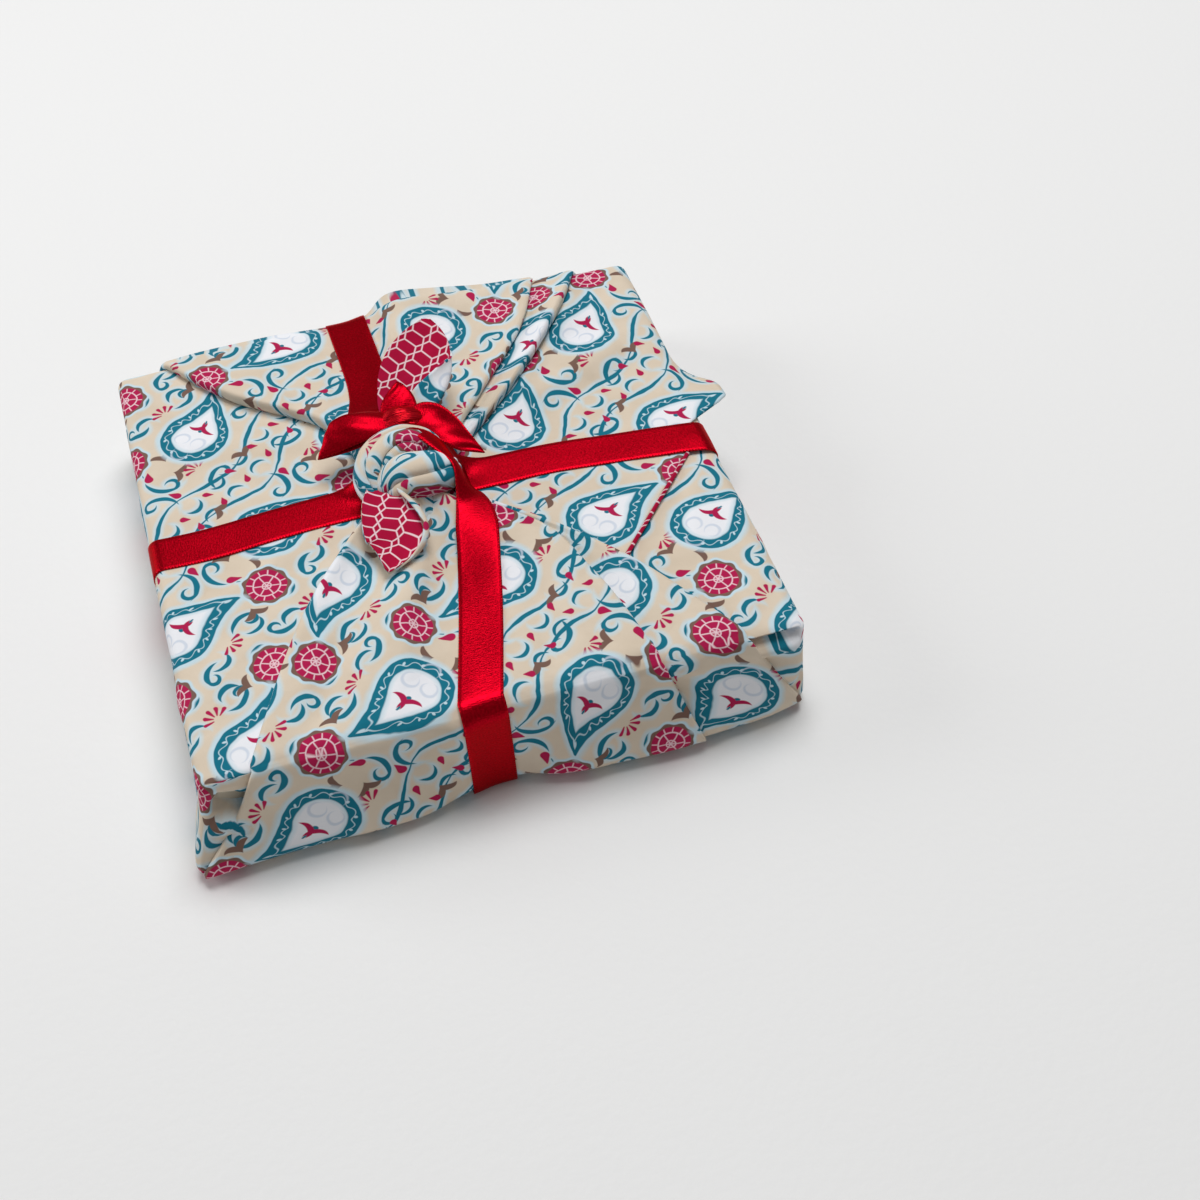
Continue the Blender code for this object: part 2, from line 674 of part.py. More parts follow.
def band_y_rows():
    """Centre points and widths of the band that runs from front to back, all the way round."""
    top_table = BAND_Y_TOP[::-1]
    front_x, back_x = from_table(top_table, -97.5), from_table(top_table, 97.5)
    foot = band_foot(Vector((front_x, -HALF, 0)), Vector((back_x, HALF, 0)))
    back = band_y_face(BACK_FOLDS, BACK_Y, BACK_ROWS, 1, back_x)
    front = band_y_face(FRONT_FOLDS, FRONT_Y, FRONT_ROWS, -1, front_x)
    rows = [(point, RIBBON_WIDTH) for point in foot + back]
    for y in BAND_Y_ROWS:
        x, width, lowest = (from_table(top_table, y, column) for column in (1, 2, 3))
        rows.append((Vector((x, y, max(highest_under(x, y, width), lowest))), width))
    return rows + [(point, RIBBON_WIDTH) for point in reversed(front)]


def band_x_wall(side, y):
    return [settle(rounded_box((side * HALF, y, rise * TOP), HALF, TOP, EDGE_RADIUS)) for rise in RISE[1:]]


def band_x_rows():
    """Centre points and widths of the band that runs from right to left, all the way round."""
    left_y, right_y = BAND_X_TOP[0][1], BAND_X_TOP[-1][1]
    points = band_foot(Vector((HALF, right_y, 0)), Vector((-HALF, left_y, 0))) + band_x_wall(-1, left_y)
    for x in BAND_X_ROWS:
        y = from_table(BAND_X_TOP, x)
        points.append(Vector((x, y, TOP + max(puff(x, y + RIBBON_WIDTH * (k / 8 - 0.5)) for k in range(9)))))
    points += reversed(band_x_wall(1, right_y))
    return [(point, RIBBON_WIDTH) for point in points]


def face_outwards(mesh, middle):
    """Turns a mesh's faces to look away from its middle."""
    bmesh.ops.recalc_face_normals(mesh, faces=mesh.faces)
    outward = sum(face.normal.dot(face.calc_center_median() - middle) for face in mesh.faces)
    if outward < 0:
        bmesh.ops.reverse_faces(mesh, faces=mesh.faces)


def band_ring(name, rows, across_axis, floor_gap, collection):
    """A closed band round the parcel: a ring of strips a little clear of the cloth, given thickness.

    Beneath the parcel the one band lies a step higher than the other where they cross.
    """
    count = len(rows)
    side = Vector((1, 0, 0)) if across_axis == "x" else Vector((0, 1, 0))
    middle = Vector((0, 0, TOP / 2))
    mesh = bmesh.new()
    ring = []
    for k, (point, width) in enumerate(rows):
        step = rows[(k + 1) % count][0] - rows[k - 1][0]
        normal = step.cross(side).normalized()
        if normal.dot(point - middle) < 0:
            normal.negate()
        clear = floor_gap if point.z < UNDER_RIBBON + 0.01 else GAP + BAND_MARGIN
        base = point + normal * clear
        ring.append([mesh.verts.new((base + side * width * s) * MM) for s in (-0.5, 0.0, 0.5)])
    for k in range(count):
        here, after = ring[k], ring[(k + 1) % count]
        for s in range(2):
            mesh.faces.new((here[s], here[s + 1], after[s + 1], after[s]))
    face_outwards(mesh, middle * MM)
    obj = mesh_object(name, mesh, collection)
    add_solidify(obj, RIBBON, 1.0)
    return obj


def bow_strip(name, table, collection):
    """A free stretch of ribbon through the rows, each turned about its own line by its roll."""
    path = smooth_path(table, 3)
    mesh = bmesh.new()
    rows = []
    for (x, y, z, width, roll), (place, across, up) in zip(path, spine_frames(path)):
        side = across * cos(radians(roll)) + up * sin(radians(roll))
        rows.append([place + side * width * s for s in (-0.5, 0.0, 0.5)])
    add_patch(mesh, rows)
    obj = mesh_object(name, mesh, collection)
    add_solidify(obj, RIBBON, 0.0)
    return obj


def make_ribbon(collection, helpers, material):
    ribbon = band_ring("ribbon", band_x_rows(), "y", GAP + BAND_STEP, collection)
    ribbon.data.materials.append(material)
    joined = [
        band_ring("band_y", band_y_rows(), "x", GAP, helpers),
        ellipsoid("bow_knot", BOW_KNOT_AT, BOW_KNOT_RADII, helpers),
        bow_strip("left_loop", LEFT_LOOP, helpers),
        bow_strip("right_tail", RIGHT_TAIL, helpers),
        bow_strip("point_loop", POINT_LOOP, helpers),
    ]
    for helper in joined:
        hide(helper)
        add_union(ribbon, helper)


def main():
    clear_scene()
    parts = make_collection("furoshiki_wrap")
    helpers = make_collection("helpers", hidden=True)
    make_gift_box(parts, make_material("gift_box", 0.8))
    make_cloth(parts, helpers, make_material("furoshiki_cloth", 0.85))
    make_lining(parts, make_material("lining", 0.85))
    make_ribbon(parts, helpers, make_material("ribbon", 0.35))


main()
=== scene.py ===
"""Looks of a square gift box wrapped in a double-faced furoshiki and tied with satin ribbon.

The cloth lies cornerwise under the box. Its right corner is folded over the top first and its left
corner over that one. Its front and back corners rise as two pleated wings to one knot, from which
they stand out as tails. Lengths are in millimetres, +X to the right, +Y to the back and +Z up, and
become metres only in the meshes. A place on the flat cloth is counted from the cloth's middle, as
seen from its printed face.
"""

import logging
import math
import operator
from collections.abc import Callable, Iterable, Sequence
from dataclasses import dataclass, field
from enum import Enum
from functools import reduce

import bmesh
import bpy
from mathutils import Matrix, Vector, noise
from mathutils.bvhtree import BVHTree


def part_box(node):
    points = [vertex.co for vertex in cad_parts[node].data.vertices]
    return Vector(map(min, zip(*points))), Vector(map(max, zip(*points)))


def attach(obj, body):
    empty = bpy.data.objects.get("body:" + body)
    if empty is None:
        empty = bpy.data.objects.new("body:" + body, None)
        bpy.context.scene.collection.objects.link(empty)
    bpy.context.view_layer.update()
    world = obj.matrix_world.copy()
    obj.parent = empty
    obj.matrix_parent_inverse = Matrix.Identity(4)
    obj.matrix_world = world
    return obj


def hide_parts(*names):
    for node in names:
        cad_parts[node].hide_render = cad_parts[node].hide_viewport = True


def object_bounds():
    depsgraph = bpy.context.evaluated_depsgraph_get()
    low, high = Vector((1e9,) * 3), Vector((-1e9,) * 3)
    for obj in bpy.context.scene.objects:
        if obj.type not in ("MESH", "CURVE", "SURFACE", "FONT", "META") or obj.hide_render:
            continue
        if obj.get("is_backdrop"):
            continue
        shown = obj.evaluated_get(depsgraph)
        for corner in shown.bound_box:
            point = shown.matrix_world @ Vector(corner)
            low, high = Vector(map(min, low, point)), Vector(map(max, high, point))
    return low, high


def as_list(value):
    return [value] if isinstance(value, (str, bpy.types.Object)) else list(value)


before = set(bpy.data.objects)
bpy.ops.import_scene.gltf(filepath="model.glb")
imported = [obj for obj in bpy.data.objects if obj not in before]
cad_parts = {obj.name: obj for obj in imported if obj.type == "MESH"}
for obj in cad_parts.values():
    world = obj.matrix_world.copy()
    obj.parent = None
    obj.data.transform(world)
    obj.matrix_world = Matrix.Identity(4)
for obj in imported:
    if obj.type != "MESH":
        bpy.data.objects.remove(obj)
log = logging.getLogger("furoshiki")

MM = 0.001
BODY = "root"
Row = list[Vector]
Rows = list[Row]
Pair = tuple[float, float]
Three = tuple[float, float, float]
Four = tuple[float, float, float, float]
Table = tuple[tuple[float, ...], ...]
Stations = dict[str, list[float]]
Floats = Sequence[float]
Object = bpy.types.Object
Material = bpy.types.Material
BMesh = bmesh.types.BMesh


# --- Small helpers for numbers and curves


def clamp(value: float, low: float, high: float) -> float:
    """Keeps a value between two limits."""
    return max(low, min(high, value))


def ease(t: float) -> float:
    """Rises smoothly from 0 to 1 as t does."""
    t = clamp(t, 0.0, 1.0)
    return t * t * (3 - 2 * t)


def mix(a: float, b: float, t: float) -> float:
    """The value that lies a share t of the way from a to b."""
    return a + (b - a) * t


def along(stations: Floats, values: Floats, place: float) -> float:
    """Reads a value at a place between stations, on a smooth curve with no overshoot.

    Args:
        stations: Places that run steadily up or down.
        values: The value at each station.
        place: Where to read.

    Returns:
        The value there, or the nearest end's value.
    """
    last = len(stations) - 1
    slopes = [(values[k + 1] - values[k]) / (stations[k + 1] - stations[k]) for k in range(last)]
    for k in range(last):
        width = stations[k + 1] - stations[k]
        t = (place - stations[k]) / width
        if t > 1 and k < last - 1:
            continue
        t = clamp(t, 0.0, 1.0)
        before, after = slopes[max(k - 1, 0)], slopes[min(k + 1, last - 1)]
        start = 0.0 if before * slopes[k] <= 0 else (before + slopes[k]) / 2
        end = 0.0 if after * slopes[k] <= 0 else (after + slopes[k]) / 2
        steep = 3 * abs(slopes[k])
        start, end = clamp(start, -steep, steep), clamp(end, -steep, steep)
        keep = 2 * t ** 3 - 3 * t ** 2 + 1
        turn = (t ** 3 - 2 * t ** 2 + t) * start + (t ** 3 - t ** 2) * end
        return keep * values[k] + (1 - keep) * values[k + 1] + turn * width
    return values[-1]


def graded(length: float, edge: float, fine: float, pitch: float) -> list[float]:
    """Stations from 0 to a length, close together within an edge at both ends.

    Args:
        length: The whole run.
        edge: How far the fine spacing reaches in from each end.
        fine: Spacing near the ends.
        pitch: Spacing between them.

    Returns:
        The stations, both ends included.
    """
    near = [edge * k / round(edge / fine) for k in range(round(edge / fine))]
    count = max(1, round((length - 2 * edge) / pitch))
    middle = [edge + (length - 2 * edge) * k / count for k in range(count + 1)]
    return near + middle + [length - place for place in reversed(near)]


def smooth_path(rows: Sequence[Floats], steps: int) -> list[list[float]]:
    """Points on a smooth curve through the rows of a table, with every column along.

    Args:
        rows: The table's rows, each a place and what goes with it.
        steps: How many points each stretch between two rows gets.

    Returns:
        The rows of the finer table.
    """
    ends = [rows[0], *rows, rows[-1]]
    path = []
    for k in range(1, len(ends) - 2):
        before, start, end, after = ends[k - 1:k + 3]
        for step in range(steps):
            t = step / steps
            path.append([
                0.5 * (2 * b + (c - a) * t + (2 * a - 5 * b + 4 * c - d) * t ** 2
                       + (3 * b - a - 3 * c + d) * t ** 3)
                for a, b, c, d in zip(before, start, end, after)])
    return path + [list(rows[-1])]


def rounded_section(points: Sequence[Vector], t: float) -> Vector:
    """A point on the round-cornered line that a row of guide points draws, never outside them.

    Args:
        points: The guide points.
        t: Place along the line, from 0 to the number of guide points less one.

    Returns:
        The point.
    """
    last = len(points) - 1
    k = min(int(t + 0.5), last)
    local = t - k
    if k == 0 or k == last:
        other = points[1] if k == 0 else points[last - 1]
        share = abs(local)
        middle = (points[k] + other) / 2
        return points[k].lerp(middle, min(1.0, 2 * share))
    start, end = (points[k - 1] + points[k]) / 2, (points[k] + points[k + 1]) / 2
    share = local + 0.5
    return start * (1 - share) ** 2 + points[k] * 2 * share * (1 - share) + end * share ** 2


def wobble(point: Vector, size: float, seed: float) -> float:
    """A soft unevenness between about -1 and 1 at a point, of some size and one of many seeds."""
    return noise.noise(point / size + Vector((seed, seed * 1.7, -seed)))


# --- Meshes


@dataclass
class Grid:
    """A grid of cloth: its rows of points, and the place of each point on the flat cloth."""

    rows: Rows = field(default_factory=list)
    flats: Rows = field(default_factory=list)

    def add(self, spots: Iterable[tuple[Vector, Vector]]) -> None:
        """Adds a row, whose spots are pairs of a point and its flat place."""
        for table, row in zip((self.rows, self.flats), zip(*spots)):
            table.append(list(row))

    def lay(self, mesh: BMesh, flip: bool = False) -> None:
        """Adds the grid to a mesh.

        Args:
            mesh: The mesh that gets it.
            flip: Whether its faces are turned over.
        """
        across, up = len(self.rows[0]) - 1, len(self.rows) - 1
        made = bmesh.ops.create_grid(mesh, x_segments=across, y_segments=up, size=1.0)
        layer = mesh.loops.layers.uv.verify()
        places = {}
        for vert in made["verts"]:
            places[vert] = (round((vert.co.x + 1) / 2 * across), round((vert.co.y + 1) / 2 * up))
        faces = {face for vert in made["verts"] for face in vert.link_faces}
        for face in faces:
            for loop in face.loops:
                column, row = places[loop.vert]
                loop[layer].uv = (self.flats[row][column] * MM).xy
        for vert, (column, row) in places.items():
            vert.co = self.rows[row][column] * MM
        if flip:
            bmesh.ops.reverse_faces(mesh, faces=list(faces))


def placed(name: str, data: bpy.types.ID) -> Object:
    """Puts an object with some data in the scene.

    Args:
        name: The object's name.
        data: Its mesh, camera or light.

    Returns:
        The new object.
    """
    made = bpy.data.objects.new(name, data)
    bpy.context.scene.collection.objects.link(made)
    return made


def mesh_data(name: str, mesh: BMesh) -> bpy.types.Mesh:
    """Turns an edited mesh, which is used up, into mesh data.

    Args:
        name: The data's name.
        mesh: The edited mesh.

    Returns:
        The mesh data.
    """
    data = bpy.data.meshes.new(name)
    mesh.to_mesh(data)
    mesh.free()
    return data


def piece_from(name: str, mesh: BMesh) -> Object:
    """Makes a smooth-shaded piece that rides on the parcel.

    Args:
        name: The piece's name.
        mesh: Its mesh, which is used up.

    Returns:
        The new object.
    """
    data = mesh_data(name, mesh)
    data.polygons.foreach_set("use_smooth", [True] * len(data.polygons))
    piece = placed(name, data)
    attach(piece, BODY)
    return piece


def thicken(piece: Object, thickness: float, offset: float = -1.0) -> None:
    """Gives a sheet its thickness.

    Args:
        piece: The sheet.
        thickness: In millimetres.
        offset: -1 for inwards from its faces, 1 for outwards, 0 for both ways.
    """
    solidify = piece.modifiers.new("Thickness", "SOLIDIFY")
    solidify.thickness = thickness * MM
    solidify.offset = offset
    solidify.use_even_offset = False


def report(piece: Object) -> None:
    """Logs a finished piece with its size."""
    size = piece.dimensions / MM
    log.info("%s: %d faces, %.0f x %.0f x %.0f mm", piece.name, len(piece.data.polygons), *size)


# --- The parcel under the folds


@dataclass(frozen=True)
class Parcel:
    """The wrapped box as a plain rounded block, to the outside of its first layer of cloth."""

    half: float
    top: float
    rounding: float = 4.0
    layer: float = 1.3
    under_ribbon: float = 0.95
    under_fade: float = 6.0
    band_x_at: float = -2.0
    band_y_at: float = -10.0
    channel_flat: float = 13.0
    channel_fade: float = 13.0
    foot_height: float = 5.0
    foot_spread: float = 15.0
    foot_depth: float = 18.0
    foot_start: float = 2.0
    foot_round: float = 4.5
    puff_at: Pair = (70.0, 66.0)
    puff_spread: Pair = (26.0, 22.0)
    puff_height: float = 4.2

    # How far the loose cloth stands out at the foot of each side: place along it, reach.
    front_foot = ((-100, 6.4), (-80, 5.4), (-64, 5.6), (-47, 6.4), (-33, 5.6), (-17, 1.6), (-8, 0.4),
                  (0, 0.4), (12, 4.0), (30, 6.0), (50, 6.6), (72, 5.6), (88, 4.0), (100, 0.8))
    back_foot = ((-100, 0.8), (-50, 3.2), (-20, 0.4), (-1, 0.4), (45, 3.6), (100, 0.8))
    left_foot = ((-100, 8.0), (-78, 3.0), (-12, 0.3), (10, 0.3), (60, 1.6), (100, 0.8))
    right_foot = ((-100, 0.8), (-60, 1.8), (-14, 0.3), (8, 0.3), (60, 1.8), (100, 0.8))

    @classmethod
    def round_box(cls, clearance: float, above: float) -> "Parcel":
        """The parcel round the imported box, so far clear of its sides and so far above its lid."""
        _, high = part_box("gift_box")
        return cls(half=round(high.x / MM + clearance, 3), top=round(high.z / MM + above, 3))

    def rounded(self, point: Vector, layers: float = 0.0) -> Vector:
        """Moves a point of the sharp-edged block onto the round-edged one, some layers out.

        Args:
            point: A point of the sharp-edged block.
            layers: How many layers of cloth farther out it goes.

        Returns:
            The moved point.
        """
        half, top = self.half + layers * self.layer, self.top + layers * self.layer
        radius = self.rounding + max(0.0, layers) * self.layer
        core = Vector((clamp(point.x, radius - half, half - radius),
                       clamp(point.y, radius - half, half - radius),
                       clamp(point.z, radius, top - radius)))
        out = point - core
        if out.length < 1e-9:
            return core
        return core + out * (radius / out.length)

    def channel(self, off: float) -> float:
        """How far the cloth is lifted by a ribbon that lies this far to one side."""
        return 1 - ease((abs(off) - self.channel_flat) / self.channel_fade)

    def settled(self, point: Vector) -> Vector:
        """Lets the cloth stand out loosely at the foot of each side and lift over the ribbon.

        Args:
            point: A point of the rounded block.

        Returns:
            The point as it lies.
        """
        low = math.exp(-(((point.z - self.foot_height) / self.foot_spread) ** 2))
        below = 1 - min(max(point.z, 0.0) / self.foot_round, 1.0)
        low *= math.sqrt(1 - below * below)
        sides = (
            (self.front_foot, -point.y, point.x, 1, -1),
            (self.back_foot, point.y, point.x, 1, 1),
            (self.left_foot, -point.x, point.y, 0, -1),
            (self.right_foot, point.x, point.y, 0, 1),
        )
        moved = point.copy()
        for table, depth, place, axis, sign in sides:
            share = low * ease((depth + self.foot_start - self.half + self.foot_depth) / self.foot_depth)
            if share > 0:
                reach = along([row[0] for row in table], [row[1] for row in table], place)
                moved[axis] += sign * reach * share
        lift = max(self.channel(point.x - self.band_y_at), self.channel(point.y - self.band_x_at))
        moved.z += self.under_ribbon * lift * (1 - ease(point.z / self.under_fade))
        return moved

    def puff(self, x: float, y: float) -> float:
        """How far the upper flap stands up at one place."""
        off = ((at - middle) / wide for at, middle, wide in zip((x, y), self.puff_at, self.puff_spread))
        return self.puff_height * math.exp(-sum(part ** 2 for part in off))


class Side(Enum):
    """A region of the parcel that has creases of its own: its outward way, and its own two axes."""

    FLAP = ((0, 0, 1), (0, 1))
    UNDER_FLAP = ((0, 0, 1), (0, 1))
    FRONT_WING = ((0, 0, 1), (0, 1))
    BACK_WING = ((0, 0, 1), (0, 1))
    FRONT_FACE = ((0, -1, 0), (0, 2))
    BACK_FACE = ((0, 1, 0), (0, 2))
    FRONT_CORNER = ((0, -1, 0), (0, 2))
    LEFT_WALL = ((-1, 0, 0), (1, 2))
    RIGHT_WALL = ((1, 0, 0), (1, 2))

    def __new__(cls, out: tuple[int, ...], axes: tuple[int, ...]) -> "Side":
        """Gives each region a value of its own, so that regions with the same axes stay apart.

        Args:
            out: Its outward way.
            axes: The numbers of its two axes.

        Returns:
            The region.
        """
        side = object.__new__(cls)
        side._value_ = len(cls.__members__)
        side.out = Vector(out)
        side.axes = axes
        return side


@dataclass(frozen=True)
class Crease:
    """A soft ridge, or with a negative height a trough, along a line on one side of the parcel."""

    side: Side
    start: Pair
    end: Pair
    width: float
    height: float
    bow: float = 0.0
    past: float = 0.12

    def rise(self, point: Vector) -> float:
        """How far it lifts the cloth at a point of its side.

        Args:
            point: The point.

        Returns:
            The height.
        """
        first, second = self.side.axes
        place = Vector((point[first], point[second]))
        start, end = Vector(self.start), Vector(self.end)
        run = end - start
        share = (place - start).dot(run) / run.length_squared
        held = clamp(share, 0.0, 1.0)
        across = Vector((-run.y, run.x)).normalized()
        line = start + run * held + across * self.bow * 4 * held * (1 - held)
        off = (place - line).length
        if off > 3 * self.width:
            return 0.0
        fade = ease(4 * (share + self.past)) * ease(4 * (1 + self.past - share))
        return self.height * math.exp(-((off / self.width) ** 2)) * fade


@dataclass(frozen=True)
class Creases:
    """Every crease of the cloth, and the unevenness that all of it has."""

    lines: tuple[Crease, ...]
    ripple: float = 0.5
    ripple_size: float = 24.0
    crumple: float = 0.26
    crumple_size: float = 10.0

    def laid(self, point: Vector, side: Side) -> Vector:
        """A point of the cloth with its creases and unevenness, moved straight out or in.

        Args:
            point: A point of the smooth cloth.
            side: The region that it is in.

        Returns:
            The moved point.
        """
        rise = self.ripple * wobble(point, self.ripple_size, 3.1)
        rise += self.crumple * wobble(point, self.crumple_size, 8.4)
        for line in self.lines:
            if line.side == side:
                rise += line.rise(point)
        return point + side.out * rise


# --- The furoshiki


class FoldKind(Enum):
    """How the cloth runs at a fold line of a wing."""

    SOFT = "soft"
    LEFT_EDGE = "turned under at the left"
    RIGHT_EDGE = "turned under at the right"
    PLEAT = "laid over the cloth at its right"


@dataclass(frozen=True)
class Fold:
    """One fold line of a wing, from the floor to the knot: its x, and its height over the flap."""

    name: str
    kind: FoldKind
    floor: float
    x: Four
    height: Four


@dataclass(frozen=True)
class WingRow:
    """Where a row across a wing lies: its stations' place, and how far up the face it is."""

    y: float
    rise: float
    on_top: bool


@dataclass(frozen=True)
class Wing:
    """A pleated corner of the cloth that rises over one edge of the box to the knot."""

    side: int
    stations: Four
    folds: tuple[Fold, ...]
    tuck: Four
    pleat_depth: float = 8.0
    under: float = 0.35
    over: float = 1.5
    turn: float = 1.4
    leaves: float = 0.12
    face_share: float = 0.7
    edge_from: float = 0.8
    edge_inset: float = 6.0
    foot_step: float = 0.12
    columns: int = 106
    gather: float = 0.9
    gather_from: float = 62.0
    gather_fade: float = 40.0
    finely: int = 24
    bend_weight: float = 1.1

    def guides(self, row: WingRow) -> tuple[list[Vector], list[float]]:
        """The guide points of the wing's section at one row.

        Args:
            row: The row.

        Returns:
            The points as x and height over the flap, and the x of each at the floor.
        """
        points, floors = [], []
        tuck = max(0.5, along(self.stations, self.tuck, row.y)) * (1.0 if row.on_top else row.rise)
        for fold in self.folds:
            x = along(self.stations, fold.x, row.y)
            height = along(self.stations, fold.height, row.y)
            made = self.fold_points(fold.kind, x, height, tuck)
            points += [Vector(pair) for pair in made]
            floors += [fold.floor] * len(made)
        ordered = [floor + self.foot_step * k for k, floor in enumerate(floors)]
        middle = (ordered[0] + ordered[-1]) / 2
        reach = ordered[-1] - middle
        return points, [(place - middle) * 100.0 / reach for place in ordered]

    def fold_points(self, kind: FoldKind, x: float, height: float,
                    tuck: float) -> list[Pair]:
        """The guide points of one fold, from left to right along the cloth.

        Args:
            kind: How the cloth runs there.
            x: Where the fold is.
            height: Its height over the flap.
            tuck: How far a turned edge reaches in below.

        Returns:
            Pairs of x and height.
        """
        turn = self.turn
        if kind == FoldKind.LEFT_EDGE:
            return [(x + tuck, self.under), (x + tuck / 2, self.under), (x + turn, self.under),
                    (x - 0.2, self.under), (x - 0.6, (height + self.under) / 2), (x - 0.1, height),
                    (x + turn + 0.6, height + 0.15)]
        if kind == FoldKind.RIGHT_EDGE:
            return [(2 * x - a, h) for a, h in
                    reversed(self.fold_points(FoldKind.LEFT_EDGE, x, height, tuck))]
        if kind == FoldKind.PLEAT:
            depth = min(self.pleat_depth, tuck)
            low = self.over
            return [(x - turn - 1.2, height), (x - 0.5, height - 0.05),
                    (x + 0.1, (height + low) / 2 + 0.3), (x - 0.5, low + 0.25),
                    (x - turn - 1.2, low + 0.14), (x - depth, low + 0.1), (x - depth - 0.5, low + 0.05),
                    (x - depth, low), (x - turn, low), (x + turn, low)]
        return [(x, height)]

    def spread(self) -> list[float]:
        """Places along the guides for the columns, closest where the section bends most.

        Returns:
            The places, counted in guide points.
        """
        middle = WingRow(self.stations[1], 1.0, True)
        points, _ = self.guides(middle)
        places = [k / self.finely for k in range(self.finely * (len(points) - 1) + 1)]
        line = [rounded_section(points, place) for place in places]
        effort = [0.0]
        for k in range(1, len(line)):
            step = (line[k] - line[k - 1]).length
            bend = 0.0
            if 1 < k and step > 1e-6 and (line[k - 1] - line[k - 2]).length > 1e-6:
                bend = (line[k] - line[k - 1]).angle(line[k - 1] - line[k - 2])
            effort.append(effort[-1] + step + self.bend_weight * bend)
        chosen, k = [0.0], 0
        for column in range(1, self.columns):
            goal = effort[-1] * column / self.columns
            while effort[k + 1] < goal:
                k += 1
            share = (goal - effort[k]) / (effort[k + 1] - effort[k])
            chosen.append(mix(places[k], places[k + 1], share))
        return chosen + [places[-1]]

    def foot(self, spread: Floats) -> list[float]:
        """The x of every column where the wing leaves the bottom of the parcel."""
        guides = [Vector((x, 0.0)) for x in self.guides(WingRow(self.stations[0], 0.0, False))[1]]
        return [rounded_section(guides, place).x for place in spread]

    def rows(self, parcel: Parcel, creases: Creases, rises: Floats,
             places: Floats) -> Grid:
        """The wing's cloth from the foot of its face up over the edge and in to the knot.

        Args:
            parcel: The block that it lies on.
            creases: The creases that it gets.
            rises: Shares of the height for the rows on the face.
            places: y of the rows on the top.

        Returns:
            The grid.
        """
        spread = self.spread()
        foot = self.foot(spread)
        grid = Grid()
        for rise in rises:
            row = self.face_row(parcel, creases, spread, foot, rise)
            grid.add(zip(row, self.flat_row(row, parcel.half + rise * parcel.top)))
        for k in range(len(rises) - 2, -1, -1):
            near, far = zip(grid.rows[k], grid.flats[k]), zip(grid.rows[k + 1], grid.flats[k + 1])
            for (here, flat), (above, known) in zip(near, far):
                flat.y = known.y - self.side * (here - above).yz.length
        for y in places:
            row = self.top_row(parcel, creases, spread, y)
            grid.add(zip(row, self.flat_row(row, 2 * parcel.half + parcel.top - abs(y))))
        return grid

    def face_row(self, parcel: Parcel, creases: Creases, spread: Floats,
                 foot: Floats, rise: float) -> Row:
        """One row across the wing's upright face, at a share of the height.

        Args:
            parcel: The block.
            creases: The creases.
            spread: Places along the guides.
            foot: x of every column at the floor.
            rise: Share of the height.

        Returns:
            The row.
        """
        guides, _ = self.guides(WingRow(self.stations[0], rise, False))
        free = ease(rise / self.leaves)
        region = Side.FRONT_FACE if self.side < 0 else Side.BACK_FACE
        row = []
        for place, foot_x in zip(spread, foot):
            there = rounded_section(guides, place)
            x = mix(foot_x, there.x, rise)
            reach = there.y - parcel.layer
            inner = parcel.rounded(Vector((x, self.side * parcel.half, rise * parcel.top)))
            outer = parcel.rounded(Vector((x, self.side * (parcel.half + parcel.layer),
                                           rise * (parcel.top + parcel.layer))), 1)
            point = parcel.settled(inner.lerp(outer, free))
            share = self.face_share if reach > 0 else 1.0
            point.y += self.side * reach * free * share
            edge = ease((rise - self.edge_from) / (1 - self.edge_from))
            point.z += reach * edge * share
            if rise > 0.02:
                point = point.lerp(creases.laid(point, region), free)
            row.append(point)
        return row

    def top_row(self, parcel: Parcel, creases: Creases, spread: Floats, y: float) -> Row:
        """One row across the wing on the top of the parcel.

        Args:
            parcel: The block.
            creases: The creases.
            spread: Places along the guides.
            y: Where the row is.

        Returns:
            The row.
        """
        guides, _ = self.guides(WingRow(y, 1.0, True))
        region = Side.FRONT_WING if self.side < 0 else Side.BACK_WING
        inset = ease((parcel.half - abs(y)) / self.edge_inset)
        gather = self.gather * ease((self.gather_from - abs(y)) / self.gather_fade)
        row = []
        for place in spread:
            there = rounded_section(guides, place)
            wave = math.sin(2.3 * place + 1.5 * wobble(Vector((place * 4, y, 0.0)), 30.0, 5.0))
            there.y += gather * wave * ease((there.y - self.over) / 2)
            reach = there.y - parcel.layer
            point = parcel.rounded(Vector((there.x, y, parcel.top + parcel.layer)), 1)
            share = mix(self.face_share, 1.0, inset) if reach > 0 else 1.0
            point.z += reach * share + parcel.puff(there.x, y)
            laid = creases.laid(point, region)
            row.append(point.lerp(laid, ease(there.y - self.over)))
        return row

    def flat_row(self, row: Row, out: float) -> Row:
        """The flat places of a row: counted along the cloth from where the row crosses x = 0.

        Args:
            row: The row.
            out: How far out on the flat cloth the row is.

        Returns:
            The flat places.
        """
        lengths = [0.0]
        for before, point in zip(row, row[1:]):
            lengths.append(lengths[-1] + (point - before).xz.length)
        middle = len(row) // 2
        start = lengths[middle] - row[middle].x
        return [Vector((start - length, self.side * out, 0.0)) for length in lengths]


